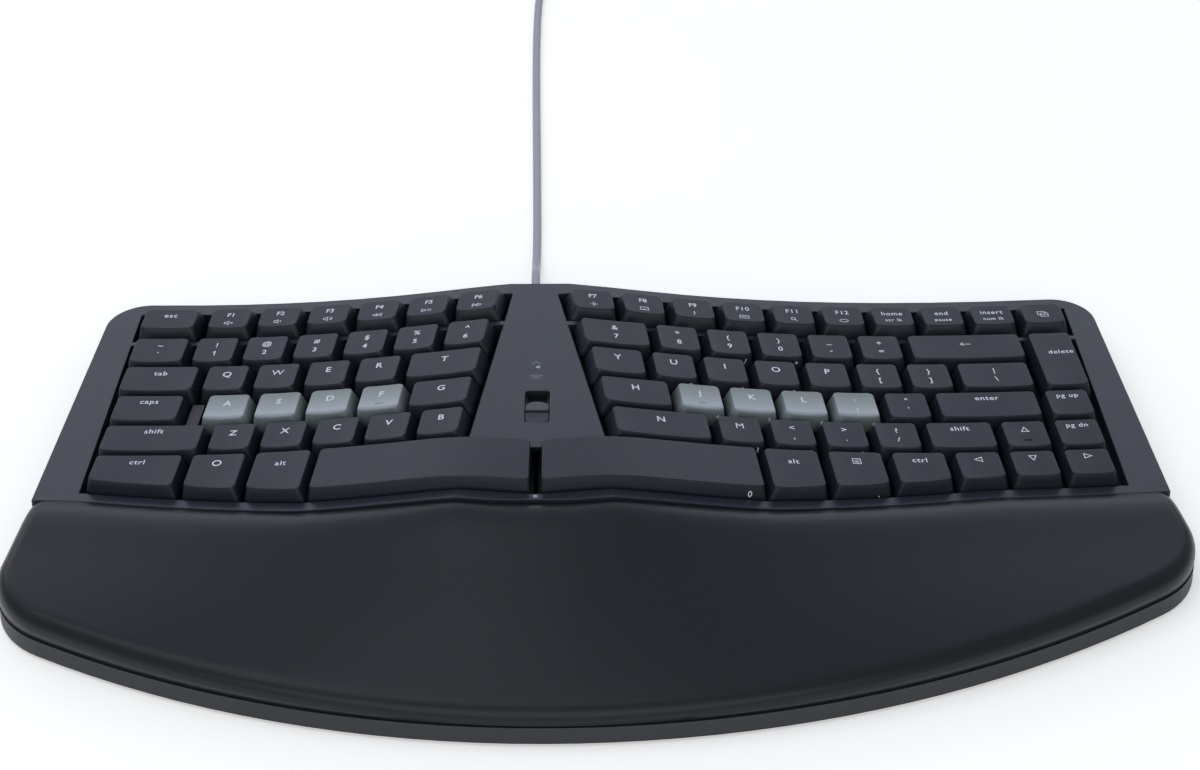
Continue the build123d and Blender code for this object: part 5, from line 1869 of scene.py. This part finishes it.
@dataclass
class Studio:
    """Camera at the photograph's view, pale floor and soft lamps."""

    lens: float = 102.47
    eye: Triple = (0.00055, -0.97712, 0.7224)
    aim: Triple = (-0.000414, 0.82763, -0.56127)
    roll: float = -0.0039
    sensor: float = 36.0
    clip: Tuple[float, float] = (0.05, 50.0)
    floor_size: float = 12.0
    world_level: float = 0.36
    world_tint: Triple = (0.88, 0.96, 1.14)
    floor_tone: Triple = (0.98, 0.94, 0.88)
    floor_lift: float = 0.41
    lamps: Tuple[Lamp, ...] = (
        Lamp("top_softbox", (-0.5, -0.1, 1.6), (1.6, 1.2), 6.5, (0.92, 0.96, 1.06)),
        Lamp("rear_softbox", (-0.3, 1.9, 0.95), (3.0, 0.8), 8.5, (0.92, 0.96, 1.08)),
        Lamp("front_softbox", (-0.1, -1.8, 0.9), (2.4, 0.8), 8.0, (1.0, 1.02, 0.9)),
    )

    def camera(self) -> bpy.types.Object:
        """Make the camera and make it the scene's.

        Returns:
            The camera.
        """
        data = bpy.data.cameras.new("photo_view")
        data.sensor_width = self.sensor
        data.lens = self.lens
        data.clip_start, data.clip_end = self.clip
        forward = Vector(self.aim).normalized()
        right = forward.cross(Vector((0, 0, 1))).normalized()
        up = right.cross(forward)
        turned_right = right * math.cos(self.roll) + up * math.sin(self.roll)
        turned_up = up * math.cos(self.roll) - right * math.sin(self.roll)
        cam = new_object("photo_view", data)
        rows = Matrix((turned_right, turned_up, -forward)).transposed().to_4x4()
        cam.matrix_world = Matrix.Translation(Vector(self.eye)) @ rows
        bpy.context.scene.camera = cam
        return cam

    def floor(self) -> bpy.types.Object:
        """Pale floor that keeps the object's shadow and shows white around it.

        Returns:
            The floor.
        """
        half = self.floor_size / 2
        mesh = bpy.data.meshes.new("floor")
        corners = [(-half, -half, 0), (half, -half, 0), (half, half, 0), (-half, half, 0)]
        mesh.from_pydata(corners, [], [(0, 1, 2, 3)])
        mat = bpy.data.materials.new("floor_white")
        graph = Graph(mat)
        path = graph.nodes.new("ShaderNodeLightPath").outputs
        seen = path["Is Camera Ray"]
        for kind in ("Is Glossy Ray", "Is Transmission Ray"):
            seen = graph.reckon("MAXIMUM", seen, path[kind])
        graph.feed(graph.shader, {"Base Color": (*self.floor_tone, 1), "Roughness": 0.9,
                                  "Specular IOR Level": 0.1, "Emission Color": (1, 1, 1, 1),
                                  "Emission Strength": graph.reckon("MULTIPLY", seen, self.floor_lift)})
        mesh.materials.append(mat)
        obj = new_object("floor", mesh)
        return obj

    def light(self) -> None:
        """World light and the lamps, each aimed at the keyboard."""
        world = bpy.data.worlds.new("studio")
        world.use_nodes = True
        back = world.node_tree.nodes["Background"]
        back.inputs["Color"].default_value = (*self.world_tint, 1)
        back.inputs["Strength"].default_value = self.world_level
        bpy.context.scene.world = world
        for lamp in self.lamps:
            data = bpy.data.lights.new(lamp.name, "AREA")
            data.shape = "RECTANGLE"
            data.size, data.size_y = lamp.size
            data.energy = lamp.power
            data.color = lamp.tint
            obj = new_object(lamp.name, data)
            obj.location = lamp.place
            obj.rotation_euler = (-Vector(lamp.place)).to_track_quat("-Z", "Y").to_euler()
        bpy.context.scene.view_settings.view_transform = "Standard"


@dataclass
class Keyboard:
    """The whole keyboard, put together from its sub-assemblies."""

    frame: Dict[str, object]
    finishes: Finishes = field(default_factory=Finishes)
    layout: KeyLayout = field(default_factory=KeyLayout)

    def build(self) -> None:
        """Build every sub-assembly in order and log its pieces."""
        nodes = self.frame["nodes"]
        LOG.info("cord: %s", Cord(self.finishes, nodes).build().name)
        KeptPieces(self.finishes, nodes).dress()
        caps = Keycaps(self.layout, self.finishes)
        for piece in caps.build_caps() + caps.build_spacebars():
            LOG.info("caps: %s", piece.name)
        legends = Legends(caps, self.finishes)
        for piece in legends.build() + [legends.build_space_print(), legends.build_wedge_signs()]:
            LOG.info("prints: %s", piece.name)
        LOG.info("palm rest: %s", PalmRest(self.layout, self.finishes).build().name)
        LOG.info("mode switch: %s", ModeKnob(self.finishes).build().name)


def main() -> None:
    """Load the frame and build the scene."""
    logging.basicConfig(level=logging.INFO, format="%(name)s %(message)s")
    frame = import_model()
    studio = Studio()
    studio.camera()
    studio.floor()
    studio.light()
    Keyboard(frame).build()
    bpy.context.view_layer.update()


if __name__ == "__main__":
    main()
